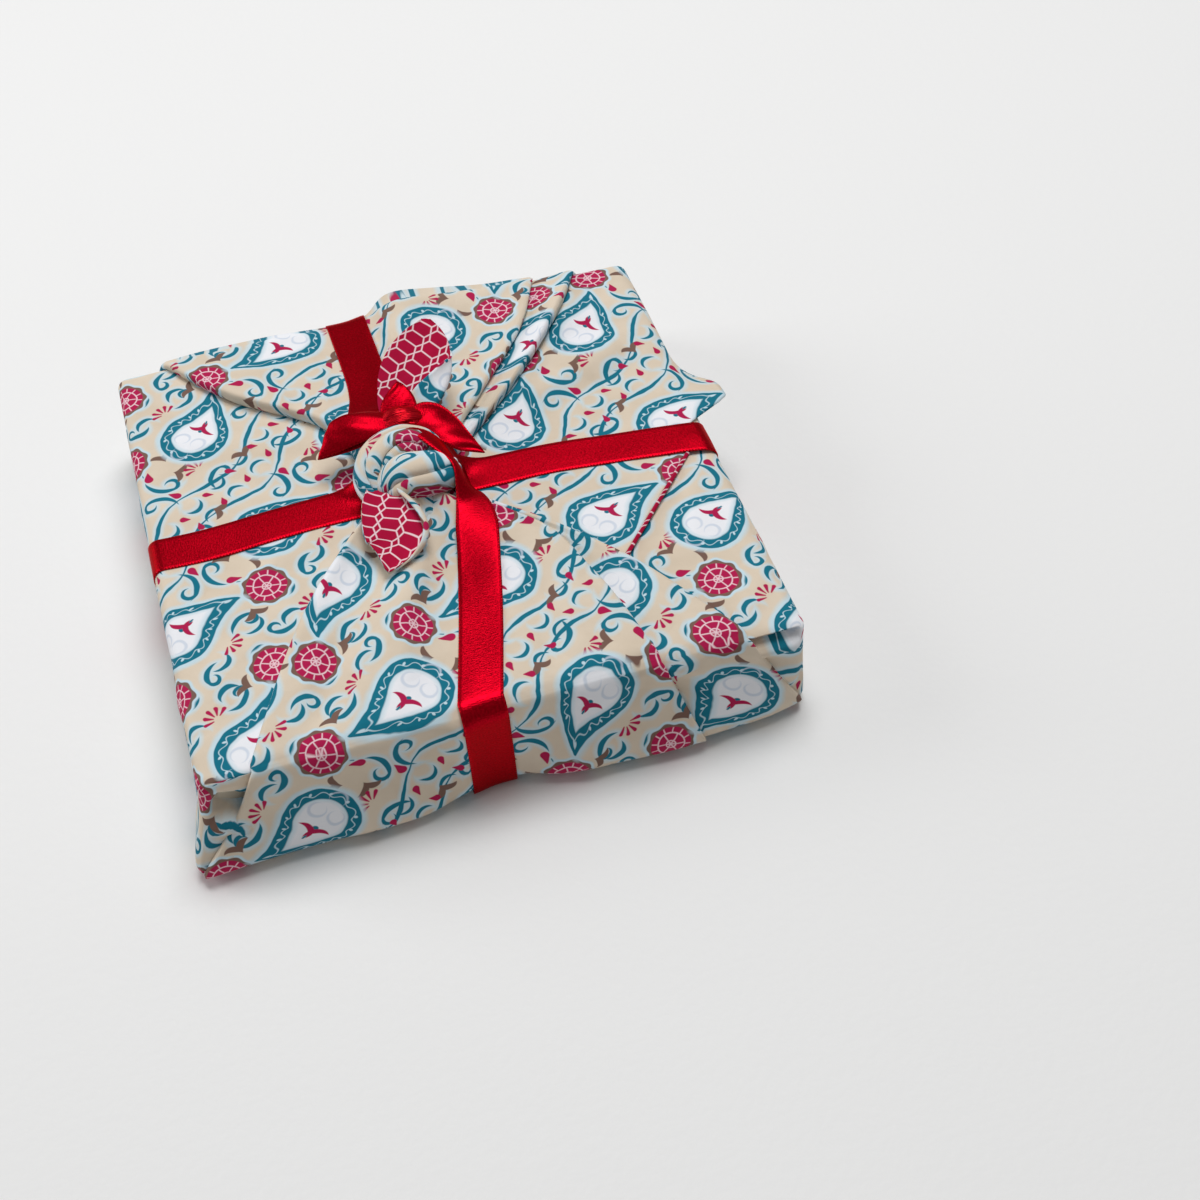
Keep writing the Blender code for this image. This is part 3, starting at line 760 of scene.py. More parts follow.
@dataclass(frozen=True)
class Flaps:
    """The cloth's left and right corners, folded flat over the top."""

    parcel: Parcel
    creases: Creases
    gusset: float = 34.0
    tip: Pair = (113.8, 14.0)
    hem_slope: float = 0.895
    hem_held: Pair = (95.5, 2.5)
    roll_fades: Pair = (-6.0, 3.0)
    back_of_tip: float = 56.0
    over_edge: float = 8.0
    droop: float = math.radians(9)
    hang_from: float = 4.0
    hang_spread: float = 38.0
    under_tip: Pair = (-85.0, -14.0)
    under_slope: float = 0.95
    under_seen: Pair = (-24.0, 10.0)
    smooth_from: float = 96.0
    smooth_fade: float = 8.0
    edge_fade: float = 5.0

    def end(self, y: float) -> float:
        """How far the left flap reaches at one y, measured along the cloth.

        Args:
            y: Where.

        Returns:
            The reach, as an x.
        """
        if y <= self.hem_held[1]:
            return min(self.tip[0] - (self.tip[1] - y) * self.hem_slope, self.hem_held[0])
        if y <= self.tip[1]:
            share = (y - self.hem_held[1]) / (self.tip[1] - self.hem_held[1])
            return mix(self.hem_held[0], self.tip[0], share)
        share = ease((y - self.tip[1]) / (self.back_of_tip - self.tip[1]))
        return mix(self.tip[0], self.parcel.half + self.over_edge, share)

    def bent(self, x: float, y: float, z: float) -> Vector:
        """Lays the part of the left flap that passes the right edge: its tip stands out.

        Args:
            x: How far along the cloth it is.
            y: Its y.
            z: Its height on the top.

        Returns:
            The point as it lies.
        """
        start = self.parcel.half - self.parcel.rounding + 1
        z += self.parcel.puff(x, y)
        if x <= start:
            return Vector((x, y, z))
        radius = self.parcel.rounding + 0.5
        turn = mix(self.droop, math.pi / 2, ease((y - self.tip[1] - self.hang_from) / self.hang_spread))
        angle = min((x - start) / radius, turn)
        rest = (x - start) - angle * radius
        out = radius * math.sin(angle) + rest * math.cos(angle)
        down = radius * (1 - math.cos(angle)) + rest * math.sin(angle)
        return Vector((start + out, y, z - down))

    def left_rows(self, sides: Floats, insets: Floats, shares: Floats,
                  margin: float) -> Grid:
        """The left flap from the left edge to its hem.

        Args:
            sides: y of the columns.
            insets: How far in from the edge the first rows are.
            shares: The other rows, as shares of the rest of the flap.
            margin: What its hem takes off its end.

        Returns:
            The grid.
        """
        parcel = self.parcel
        start = parcel.half + parcel.top
        grid = Grid()
        for inset in insets:
            row = []
            for y in sides:
                point = parcel.settled(parcel.rounded(Vector((inset - parcel.half, y, parcel.top))))
                laid = self.held_laid(point, Side.FLAP, inset)
                row.append((laid, Vector((start + inset, y, 0.0))))
            grid.add(row)
        for share in shares:
            row = []
            for y in sides:
                x = mix(self.gusset - parcel.half, self.end(y) - margin * self.rolled(y), share)
                level = parcel.rounded(Vector((0.0, y, parcel.top)))
                point = self.bent(x, level.y, level.z)
                laid = self.creases.laid(point, Side.FLAP)
                free = self.free(y) * ease((self.smooth_from - x) / self.smooth_fade)
                row.append((point.lerp(laid, free), Vector((start + parcel.half + x, y, 0.0))))
            grid.add(row)
        return grid

    def rolled(self, y: float) -> float:
        """How much of the hem's inner face shows at one y: none round the tip."""
        return 1 - ease((y - self.roll_fades[0]) / (self.roll_fades[1] - self.roll_fades[0]))

    def free(self, y: float) -> float:
        """How free the flap is to crease at one y: not at all along the front and back edges."""
        return ease((self.parcel.half - abs(y)) / self.edge_fade)

    def held_laid(self, point: Vector, side: Side, inset: float) -> Vector:
        """A point near an edge of the flap, with creases that fade out at the edge itself."""
        laid = self.creases.laid(point, side)
        return point.lerp(laid, min(ease(inset / self.edge_fade), self.free(point.y)))

    def right_rows(self, sides: Floats, insets: Floats,
                   shares: Floats) -> Grid:
        """The right flap from the right edge to its corner, under the left flap.

        Args:
            sides: y of the columns.
            insets: How far in from the edge the first rows are.
            shares: The other rows, as shares of the rest of the flap.

        Returns:
            The grid.
        """
        parcel = self.parcel
        start = parcel.half + parcel.top
        grid = Grid()
        for inset in insets:
            row = []
            for y in sides:
                base = parcel.rounded(Vector((parcel.half - inset, y, parcel.top)))
                base.z -= parcel.layer * self.step_down(base.z)
                laid = self.held_laid(parcel.settled(base), Side.UNDER_FLAP, inset)
                row.append((laid, Vector((-start - inset, y, 0.0))))
            grid.add(row)
        for share in shares:
            row = []
            for y in sides:
                end = self.under_tip[0] + abs(y - self.under_tip[1]) * self.under_slope
                x = mix(parcel.half - self.gusset, end, share)
                point = parcel.rounded(Vector((x, y, parcel.top)))
                point.z = min(point.z, parcel.top) - parcel.layer * self.step_down(point.z)
                laid = self.creases.laid(point, Side.UNDER_FLAP)
                seen = ease((x - self.under_seen[0]) / self.under_seen[1]) * self.free(y)
                row.append((point.lerp(laid, seen), Vector((x - start - parcel.half, y, 0.0))))
            grid.add(row)
        return grid

    def step_down(self, z: float) -> float:
        """How much of a layer lower the right flap lies, which fades out down the edges."""
        return ease((z - self.parcel.top + self.parcel.rounding) / self.parcel.rounding)


@dataclass
class Furoshiki:
    """The double-faced square of cloth, folded round the box."""

    parcel: Parcel
    creases: Creases
    front: Wing
    back: Wing
    flaps: Flaps
    side_length: float = 500.0
    thickness: float = 0.8
    hem_width: float = 1.8
    fine: float = 1.0
    pitch: float = 2.9
    wall_pitch: float = 2.2
    inner_rows: int = 66
    hem_rows: int = 16
    hem_share: float = 0.12
    under_rows: tuple[int, int] = (24, 8)
    wing_rows: int = 56
    wing_insets: tuple[float, ...] = (0.6, 1.4, 2.4, 3.6)
    low_fade: float = 0.15
    high_fade: float = 0.12
    corner_fades: Three = (4.0, 0.1, 0.04)
    weld: float = 0.02
    sliver: float = 0.005
    name: str = "wrap_cloth"
    below_knot: BVHTree | None = field(default=None, repr=False)
    with_knot: BVHTree | None = field(default=None, repr=False)

    def stations(self) -> Stations:
        """The rows and columns that neighbouring patches share.

        Returns:
            The lists, by their names.
        """
        parcel, inner = self.parcel, 1 - self.hem_share
        gusset, edge = self.flaps.gusset, parcel.rounding
        sides = graded(2 * parcel.half, edge, self.fine, self.pitch)
        rises = graded(parcel.top, edge, self.fine, self.wall_pitch)
        insets = [inset for inset in graded(gusset, edge, self.fine, self.pitch) if inset <= gusset - edge]
        shares = [inner * k / self.inner_rows for k in range(1, self.inner_rows + 1)]
        shares += [inner + self.hem_share * k / self.hem_rows for k in range(1, self.hem_rows + 1)]
        return {"sides": [place - parcel.half for place in sides],
                "rises": [place / parcel.top for place in rises],
                "insets": [*insets, gusset], "shares": shares}

    def wall(self, side: int, at: Stations) -> Grid:
        """The left wall or the right wall.

        Args:
            side: -1 for the left one, 1 for the right one.
            at: The shared rows and columns.

        Returns:
            The grid.
        """
        parcel = self.parcel
        region = Side.LEFT_WALL if side < 0 else Side.RIGHT_WALL
        grid = Grid()
        for rise in at["rises"]:
            out = parcel.half + rise * parcel.top
            row = []
            for y in at["sides"]:
                point = self.on_side(Vector((side * parcel.half, y, rise * parcel.top)), side)
                low, high = ease(rise / self.low_fade), ease((1 - rise) / self.high_fade)
                held = min(low, high, self.flaps.free(y))
                laid = point.lerp(self.creases.laid(point, region), held)
                row.append((laid, Vector((-side * out, y, 0.0))))
            grid.add(row)
        return grid

    def on_side(self, point: Vector, side: int) -> Vector:
        """A settled point of a side wall, whose upper edge lies a layer lower at the right.

        Args:
            point: The point.
            side: -1 for the left wall, 1 for the right.

        Returns:
            The point as it lies.
        """
        moved = self.parcel.rounded(point)
        if side > 0:
            moved.z -= self.parcel.layer * self.flaps.step_down(moved.z)
        return self.parcel.settled(moved)

    def corner(self, side_x: int, side_y: int, at: Stations) -> Grid:
        """The triangle of a side wall's cloth that wraps round an upright edge, behind a wing.

        Args:
            side_x: -1 at the left, 1 at the right.
            side_y: -1 at the front, 1 at the back.
            at: The shared rows and columns.

        Returns:
            The grid.
        """
        parcel = self.parcel
        grid = Grid()
        for rise in at["rises"]:
            row = []
            for inset in at["insets"]:
                base = Vector((side_x * (parcel.half - inset * rise), side_y * parcel.half,
                               rise * parcel.top))
                point = self.on_side(base, side_x)
                if side_y < 0:
                    inset_fade, low_fade, high_fade = self.corner_fades
                    held = min(ease(inset / inset_fade), ease(rise / low_fade), ease((1 - rise) / high_fade))
                    point = point.lerp(self.creases.laid(point, Side.FRONT_CORNER), held)
                row.append((point, Vector((-side_x * (parcel.half + rise * parcel.top),
                                           side_y * (parcel.half + inset * rise), 0.0))))
            grid.add(row)
        return grid

    def bottom(self, at: Stations) -> Grid:
        """The cloth under the box.

        Args:
            at: The shared rows and columns.

        Returns:
            The grid.
        """
        parcel = self.parcel
        front, back = self.front.foot(self.front.spread()), self.back.foot(self.back.spread())
        grid = Grid()
        for y in at["sides"]:
            t = (y + parcel.half) / (2 * parcel.half)
            xs = [mix(a, b, t) for a, b in zip(front, back)]
            grid.add((parcel.settled(parcel.rounded(Vector((x, y, 0.0)))), Vector((-x, y, 0.0))) for x in xs)
        return grid

    def build(self, knot: "Knot", tails: Sequence["Tail"]) -> Object:
        """Folds the whole square of cloth as one thin sheet.

        Args:
            knot: The knot of both wings.
            tails: The corners that stand out of it.

        Returns:
            The piece, which stands for the plain solid cloth.
        """
        parcel = self.parcel
        at = self.stations()
        mesh = bmesh.new()
        self.bottom(at).lay(mesh, flip=True)
        self.wall(-1, at).lay(mesh, flip=True)
        self.wall(1, at).lay(mesh)
        self.flaps.left_rows(at["sides"], at["insets"], at["shares"], self.hem_width).lay(mesh, flip=True)
        seen, hidden = self.under_rows
        under = [0.5 * k / seen for k in range(1, seen + 1)]
        under += [0.5 + 0.5 * k / hidden for k in range(1, hidden + 1)]
        self.flaps.right_rows(at["sides"], at["insets"], under).lay(mesh)
        for side_x in (-1, 1):
            for side_y in (-1, 1):
                self.corner(side_x, side_y, at).lay(mesh, flip=side_x * side_y < 0)
        for wing in (self.front, self.back):
            *edge, start = (parcel.half - inset for inset in self.wing_insets)
            last, count = abs(wing.stations[-1]), self.wing_rows
            steps = edge + [mix(start, last, k / count) for k in range(count + 1)]
            rows = wing.rows(parcel, self.creases, at["rises"], [wing.side * y for y in steps])
            rows.lay(mesh, flip=wing.side > 0)
        bmesh.ops.remove_doubles(mesh, verts=mesh.verts, dist=self.weld * MM)
        bmesh.ops.dissolve_degenerate(mesh, edges=mesh.edges, dist=self.sliver * MM)
        self.below_knot = BVHTree.FromBMesh(mesh)
        for strand in knot.strands:
            strand.add_to(mesh)
        self.with_knot = BVHTree.FromBMesh(mesh)
        for tail in tails:
            tail.add_to(mesh)
        piece = piece_from(self.name, mesh)
        thicken(piece, self.thickness)
        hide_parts("furoshiki_cloth")
        return piece


@dataclass(frozen=True)
class Piping:
    """The inner face of the cloth, rolled out as a narrow edge along the left flap's front hem."""

    flaps: Flaps
    width: float
    crown: float = 0.5
    crown_from: float = 0.12
    tucked: float = 0.9
    past_roll: float = 2.0
    hem_run: float = 1.34
    steps: int = 6
    thickness: float = 0.7

    def build(self) -> Object:
        """Lays the rolled edge along the hem, up to a little past where the roll ends, short of the tip.

        Returns:
            The piece.
        """
        parcel = self.flaps.parcel
        reach = parcel.half - parcel.rounding
        last = self.flaps.roll_fades[1] + self.past_roll
        ys = [place - reach for place in graded(2 * reach, 4.0, 1.0, 1.6) if place - reach < last]
        grid = Grid()
        for y in ys:
            end, rolled = self.flaps.end(y), self.flaps.rolled(y)
            row = []
            for k in range(self.steps + 1):
                share = k / self.steps
                level = parcel.top - self.tucked * (1 - rolled)
                out = self.width * (1 - share) + self.tucked * (1 - rolled)
                point = self.flaps.bent(end - out, y, level)
                point.z += self.crown * rolled * math.sin(math.pi * min(share + self.crown_from, 1.0))
                row.append((point, Vector((self.width * k / self.steps, y * self.hem_run, 0.0))))
            grid.add(row)
        mesh = bmesh.new()
        grid.lay(mesh)
        piece = piece_from("hem_piping", mesh)
        thicken(piece, self.thickness)
        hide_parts("lining_hem")
        return piece


# --- Knot and tails


def frames_along(path: Sequence[Floats]) -> list[tuple[Vector, Vector, Vector, Vector]]:
    """For each point of a path: its place, its direction, the way across and the way up.

    Args:
        path: The points, whose rows start with x, y and z.

    Returns:
        The four for each point.
    """
    found = []
    for k, row in enumerate(path):
        before = Vector(path[max(k - 1, 0)][:3])
        after = Vector(path[min(k + 1, len(path) - 1)][:3])
        forward = (after - before).normalized()
        across = forward.cross(Vector((0, 0, 1))).normalized()
        found.append((Vector(row[:3]), forward, across, across.cross(forward)))
    return found


@dataclass(frozen=True)
class Strand:
    """A gathered rope of cloth with soft lengthwise pleats: x, y, z, half width, half height."""

    name: str
    path: Table
    pleats: int = 6
    pleat_depth: float = 0.3
    phase: float = 0.0
    twist: float = 0.6
    blunt: int = 12
    around: int = 56
    steps: int = 7
    flat_at: Pair = (0.0, -300.0)

    def add_to(self, mesh: BMesh) -> None:
        """Adds the strand to a mesh as a closed tube.

        Args:
            mesh: The mesh that gets it.
        """
        path = smooth_path(self.path, self.steps)
        grid, run = Grid(), 0.0
        for k, (place, _, across, up) in enumerate(frames_along(path)):
            if k:
                run += (place - Vector(path[k - 1][:3])).length
            half_width, half_height = path[k][3], path[k][4]
            share = k / (len(path) - 1)
            close = math.sqrt(max(0.0, 1 - (2 * share - 1) ** self.blunt))
            row = []
            for j in range(self.around + 1):
                angle = 2 * math.pi * j / self.around
                turned = self.pleats * angle / 2 + self.phase + self.twist * math.sin(4 * share)
                fold = 1 - self.pleat_depth * (1 - abs(math.sin(turned))) ** 3
                fold += 0.04 * math.sin(2 * angle + 7 * share + self.phase)
                fold += 0.05 * wobble(place + across * math.cos(angle) * 9, 7.0, self.phase)
                out = across * math.cos(angle) * half_width + up * math.sin(angle) * half_height
                row.append((place + out * fold * close,
                            Vector((self.flat_at[0] + angle * half_width * 1.5, self.flat_at[1] + run, 0.0))))
            grid.add(row)
        grid.lay(mesh)


@dataclass(frozen=True)
class Tail:
    """A corner of the cloth that stands out of the knot, with rims that roll over.

    Its table gives x, y, z, half width, how far each rim rolls in degrees, and how far the right
    rim lies back over the tail.
    """

    name: str
    node: str
    table: Table
    roll: float = 1.7
    cup: float = 0.9
    lift: float = 0.86
    wave: float = 0.3
    lining_thickness: float = 0.3
    across: int = 40
    steps: int = 6
    flat_at: Pair = (0.0, -320.0)

    def section(self, row: Floats, share: float, lift: float) -> Three:
        """A point of the tail's section.

        Args:
            row: The row of the fine table.
            share: From -1 at the left rim to 1 at the right one.
            lift: How far over the printed sheet.

        Returns:
            How far across and how far up it is, and how far from the middle along the cloth.
        """
        half, left, right, back = row[3:7]
        radius = min(self.roll, max(half - 0.2, 0.1))
        turn = math.radians(max(right if share > 0 else left, 0.0))
        straight = half - radius * math.sin(min(turn, math.pi / 2))
        rest = max(back, 0.0) if share > 0 else 0.0
        length = abs(share) * (straight + radius * turn + rest)
        inner = max(radius - lift, 0.05)
        if length <= straight:
            across, up = length, lift + self.cup * (length / max(half, 0.1)) ** 2
        else:
            angle = min((length - straight) / radius, turn)
            more = length - straight - angle * radius
            across = straight + inner * math.sin(angle) + more * math.cos(angle)
            up = radius - inner * math.cos(angle) + more * math.sin(angle) + self.cup
        return math.copysign(across, share), up, math.copysign(length, share)

    def rows(self, lift: float) -> Grid:
        """The rows across the tail from its root to its tip.

        Args:
            lift: How far over the printed sheet they lie.

        Returns:
            The grid.
        """
        path = smooth_path(self.table, self.steps)
        grid, run = Grid(), 0.0
        frames = frames_along(path)
        for k, (place, _, across, up) in enumerate(frames):
            run += (place - frames[max(k - 1, 0)][0]).length
            row = []
            for j in range(self.across + 1):
                share = 2 * j / self.across - 1
                side, rise, length = self.section(path[k], share, lift)
                rise += self.wave * math.sin(3.1 * share + 0.35 * k) * (1 - abs(share))
                row.append((place + across * side + up * rise,
                            Vector((self.flat_at[0] + length, self.flat_at[1] + run, 0.0))))
            grid.add(row)
        return grid

    def add_to(self, mesh: BMesh) -> None:
        """Adds the tail's sheet to a mesh, printed face down."""
        self.rows(0.0).lay(mesh, flip=True)

    def lining(self) -> Object:
        """Makes the lining that shows on the tail.

        Returns:
            The piece.
        """
        mesh = bmesh.new()
        self.rows(self.lift).lay(mesh)
        piece = piece_from(self.name, mesh)
        thicken(piece, self.lining_thickness, 1.0)
        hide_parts(self.node)
        return piece


@dataclass(frozen=True)
class Knot:
    """The knot of both wings, made of strands that wrap over each other."""

    strands: tuple[Strand, ...]


# --- Ribbon


@dataclass(frozen=True)
class Strip:
    """A free stretch of ribbon between two edges: x, y, z of each edge, and the crown between."""

    name: str
    edges: Table
    half_width: float = 7.5
    wave: float = 0.22
    across: int = 12
    steps: int = 8

    def add_to(self, mesh: BMesh, start: float) -> None:
        """Adds the strip to a mesh.

        Args:
            mesh: The mesh that gets it.
            start: How far along the ribbon it begins.
        """
        path = smooth_path(self.edges, self.steps)
        middles = [(Vector(row[:3]) + Vector(row[3:6])) / 2 for row in path]
        grid, run = Grid(), start
        for k, line in enumerate(path):
            first, second, crown = Vector(line[:3]), Vector(line[3:6]), line[6]
            run += (middles[k] - middles[max(k - 1, 0)]).length
            forward = middles[min(k + 1, len(path) - 1)] - middles[max(k - 1, 0)]
            over = (first - second).cross(forward).normalized()
            row = []
            for j in range(self.across + 1):
                u = 2 * j / self.across - 1
                rise = crown * (1 - u * u) + self.wave * math.sin(5 * u + 0.5 * k) * (1 - u * u)
                row.append((first.lerp(second, (u + 1) / 2) + over * rise,
                            Vector((run, u * self.half_width, 0.0))))
            grid.add(row)
        grid.lay(mesh)


@dataclass(frozen=True)
class Band:
    """A ribbon band right round the parcel: stations on the top with its place and its width."""

    name: str
    over_y: bool
    table: Table
    width: float = 15.0
    clear: float = 0.3
    pitch: float = 1.6
    known_to: float = 97.5
    known_above: float = 5.0
    across: int = 10
    stretch: int = 3
    easings: int = 3
    taut: float = 0.9
    corner: int = 8
    reach: float = 26.0

    def loop(self, parcel: Parcel) -> list[tuple[Vector, Vector, float]]:
        """Points evenly outside the parcel's section, with the way in and the run so far.

        Args:
            parcel: The block.

        Returns:
            The points.
        """
        round_by = parcel.rounding
        half, low, high = parcel.half - round_by, round_by, parcel.top - round_by
        found, run = [], 0.0
        sides = (((-half, low), (half, low), -90), ((half, low), (half, high), 0),
                 ((half, high), (-half, high), 90), ((-half, high), (-half, low), 180))
        for start, end, angle in sides:
            start, end = Vector(start), Vector(end)
            out = Vector((math.cos(math.radians(angle)), math.sin(math.radians(angle))))
            count = round((end - start).length / self.pitch)
            for step in range(count):
                found.append((start.lerp(end, step / count) + out * (round_by + self.reach), -out, run))
                run += (end - start).length / count
            for step in range(self.corner):
                turn = math.radians(angle + 90 * step / self.corner)
                out = Vector((math.cos(turn), math.sin(turn)))
                found.append((end + out * (round_by + self.reach), -out, run))
                run += math.pi / 2 * round_by / self.corner
        return found

    def at(self, place: float, column: int) -> float:
        """Reads the band's table, whose rows may leave out their usual ends.

        Args:
            place: Place along the band.
            column: 1 for its middle, 2 for its width, 3 for its least height.

        Returns:
            The value there.
        """
        usual = (0.0, 0.0, self.width, 0.0)
        rows = [(*row, *usual[len(row):]) for row in self.table]
        return along([row[0] for row in rows], [row[column] for row in rows], place)

    def build(self, parcel: Parcel, below: Sequence[BVHTree], mesh: BMesh) -> None:
        """Lays the band on the cloth and adds it to a mesh.

        Args:
            parcel: The block that it goes round.
            below: The surfaces that it lies on.
            mesh: The mesh that gets it.
        """
        loop = self.loop(parcel)
        depth = [[self.reach] * (self.across + 1) for _ in loop]
        lines = []
        for i, (place, inward, run) in enumerate(loop):
            centre, width = self.centre(place, parcel), self.wide(place, parcel)
            line = []
            for j in range(self.across + 1):
                side = centre + width * (j / self.across - 0.5)
                start = self.spot(place, side)
                way = Vector((0.0, inward.x, inward.y)) if self.over_y else Vector((inward.x, 0.0, inward.y))
                hits = [tree.ray_cast(start * MM, way)[3] for tree in below]
                reach = min([hit / MM for hit in hits if hit is not None], default=self.reach)
                depth[i][j] = self.raised(place, start, way, reach)
                line.append((start, way, run))
            lines.append(line)
        depth = self.tightened(depth)
        grid = Grid()
        for i, line in enumerate(lines):
            grid.add((start + way * (depth[i][j] - self.clear),
                      Vector((run, self.width * (j / self.across - 0.5), 0.0)))
                     for j, (start, way, run) in enumerate(line))
        length = lines[-1][0][2] + self.pitch
        grid.add((point.copy(), Vector((length, flat.y, 0.0)))
                 for point, flat in zip(grid.rows[0], grid.flats[0]))
        grid.lay(mesh, flip=not self.over_y)

    def centre(self, place: Vector, parcel: Parcel) -> float:
        """Where the band's middle is at a point of the loop; below, it runs straight across.

        Args:
            place: The point of the loop.
            parcel: The block that the band goes round.

        Returns:
            The middle's place across the band.
        """
        if place.y < parcel.top / 2 and abs(place.x) <= parcel.half:
            share = (place.x + parcel.half) / (2 * parcel.half)
            return mix(self.at(-self.known_to, 1), self.at(self.known_to, 1), share)
        return self.at(clamp(place.x, -self.known_to, self.known_to), 1)

    def wide(self, place: Vector, parcel: Parcel) -> float:
        """How wide the band lies at a point of the loop: by its table, from just over the top up."""
        on_top = place.y >= parcel.top + self.known_above
        return self.at(clamp(place.x, -self.known_to, self.known_to), 2) if on_top else self.width

    def raised(self, place: Vector, start: Vector, way: Vector, reach: float) -> float:
        """A reach in from a point, kept over the band's least height where something lies below it."""
        lowest = self.at(clamp(place.x, -self.known_to, self.known_to), 3) if way.z <= -0.9 else 0.0
        return min(reach, start.z - lowest) if lowest else reach

    def spot(self, place: Vector, side: float) -> Vector:
        """A point of the loop as a point of the parcel."""
        return Vector((side, place.x, place.y) if self.over_y else (place.x, side, place.y))

    def tightened(self, depth: list[list[float]]) -> list[list[float]]:
        """Pulls the band taut: it rests on the highest cloth nearby and spans the hollows.

        Args:
            depth: How far in the cloth is, for each point and edge.

        Returns:
            How far in it lies once taut.
        """
        count, across = len(depth), self.across + 1
        reach = self.stretch
        held = [[min(depth[(i + di) % count][clamp(j + dj, 0, self.across)]
                     for di in range(-reach, reach + 1) for dj in (-1, 0, 1))
                 for j in range(across)] for i in range(count)]
        for _ in range(self.easings):
            eased = [[sum(held[(i + di) % count][j] for di in (-2, -1, 0, 1, 2)) / 5
                      for j in range(across)] for i in range(count)]
            held = [[min(mix(held[i][j], (eased[i][clamp(j - 1, 0, self.across)] + eased[i][j]
                                          + eased[i][clamp(j + 1, 0, self.across)]) / 3, self.taut),
                         depth[i][j]) for j in range(across)] for i in range(count)]
        return held


@dataclass(frozen=True)
class Ribbon:
    """One length of satin ribbon: two bands round the parcel and a small bow."""

    bands: tuple[Band, ...]
    strips: tuple[Strip, ...]
    bow_knot: Strand
    thickness: float = 0.35
    strip_gap: float = 100.0
    weld: Pair = (0.001, 0.01)
    cut: Pair = (15.0, 1260.0)

    def build(self, cloth: Furoshiki, piping: Object) -> list[Object]:
        """Ties the ribbon.

        Args:
            cloth: The cloth that it lies on.
            piping: The piece along the cloth's hem, which it crosses.

        Returns:
            The bands, the bow's loop and ends, and the bow's knot.
        """
        mesh = bmesh.new()
        hem = BVHTree.FromObject(piping, bpy.context.evaluated_depsgraph_get())
        for band in self.bands:
            surface = cloth.with_knot if band.over_y else cloth.below_knot
            band.build(cloth.parcel, (surface, hem), mesh)
        bmesh.ops.remove_doubles(mesh, verts=mesh.verts, dist=self.weld[0] * MM)
        bands = piece_from("ribbon_bands", mesh)
        thicken(bands, self.thickness, 0.0)
        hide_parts("ribbon")
        mesh = bmesh.new()
        for k, strip in enumerate(self.strips):
            strip.add_to(mesh, self.strip_gap * k)
        bow = piece_from("ribbon_bow", mesh)
        thicken(bow, self.thickness, 0.0)
        mesh = bmesh.new()
        self.bow_knot.add_to(mesh)
        bmesh.ops.remove_doubles(mesh, verts=mesh.verts, dist=self.weld[1] * MM)
        bmesh.ops.recalc_face_normals(mesh, faces=mesh.faces)
        knot = piece_from("bow_knot", mesh)
        return [bands, bow, knot]


# --- Finishes


def operation(kind: str, turned: bool = False) -> Callable[..., "Signal"]:
    """Makes a method that puts a signal, and a second value where there is one, through a Math node.

    Args:
        kind: The node's operation.
        turned: Whether the second value comes first.

    Returns:
        The method.
    """
    def through(self: "Signal", *others: "Signal | float") -> "Signal":
        """The signal after the node."""
        return self.maker.math(kind, *((*others, self) if turned else (self, *others)))

    return through


class Signal:
    """A shader socket that can be used in arithmetic with numbers and other sockets."""

    __add__ = __radd__ = operation("ADD")
    __sub__ = operation("SUBTRACT")
    __rsub__ = operation("SUBTRACT", turned=True)
    __mul__ = __rmul__ = operation("MULTIPLY")
    __abs__ = operation("ABSOLUTE")
    sin = operation("SINE")
    least = operation("MINIMUM")
    most = operation("MAXIMUM")

    def __init__(self, maker: "Nodes", socket: bpy.types.NodeSocket) -> None:
        """Wraps a socket of a maker's node tree."""
        self.maker = maker
        self.socket = socket

    def __neg__(self) -> "Signal":
        """Opposite."""
        return self * -1.0

    def wrapped(self, half: float) -> "Signal":
        """The value brought between minus half and half by whole repeats."""
        return self.maker.math("WRAP", self, half, -half)


Place = tuple[Signal, Signal]
Color = Four
SHARP = 0.3


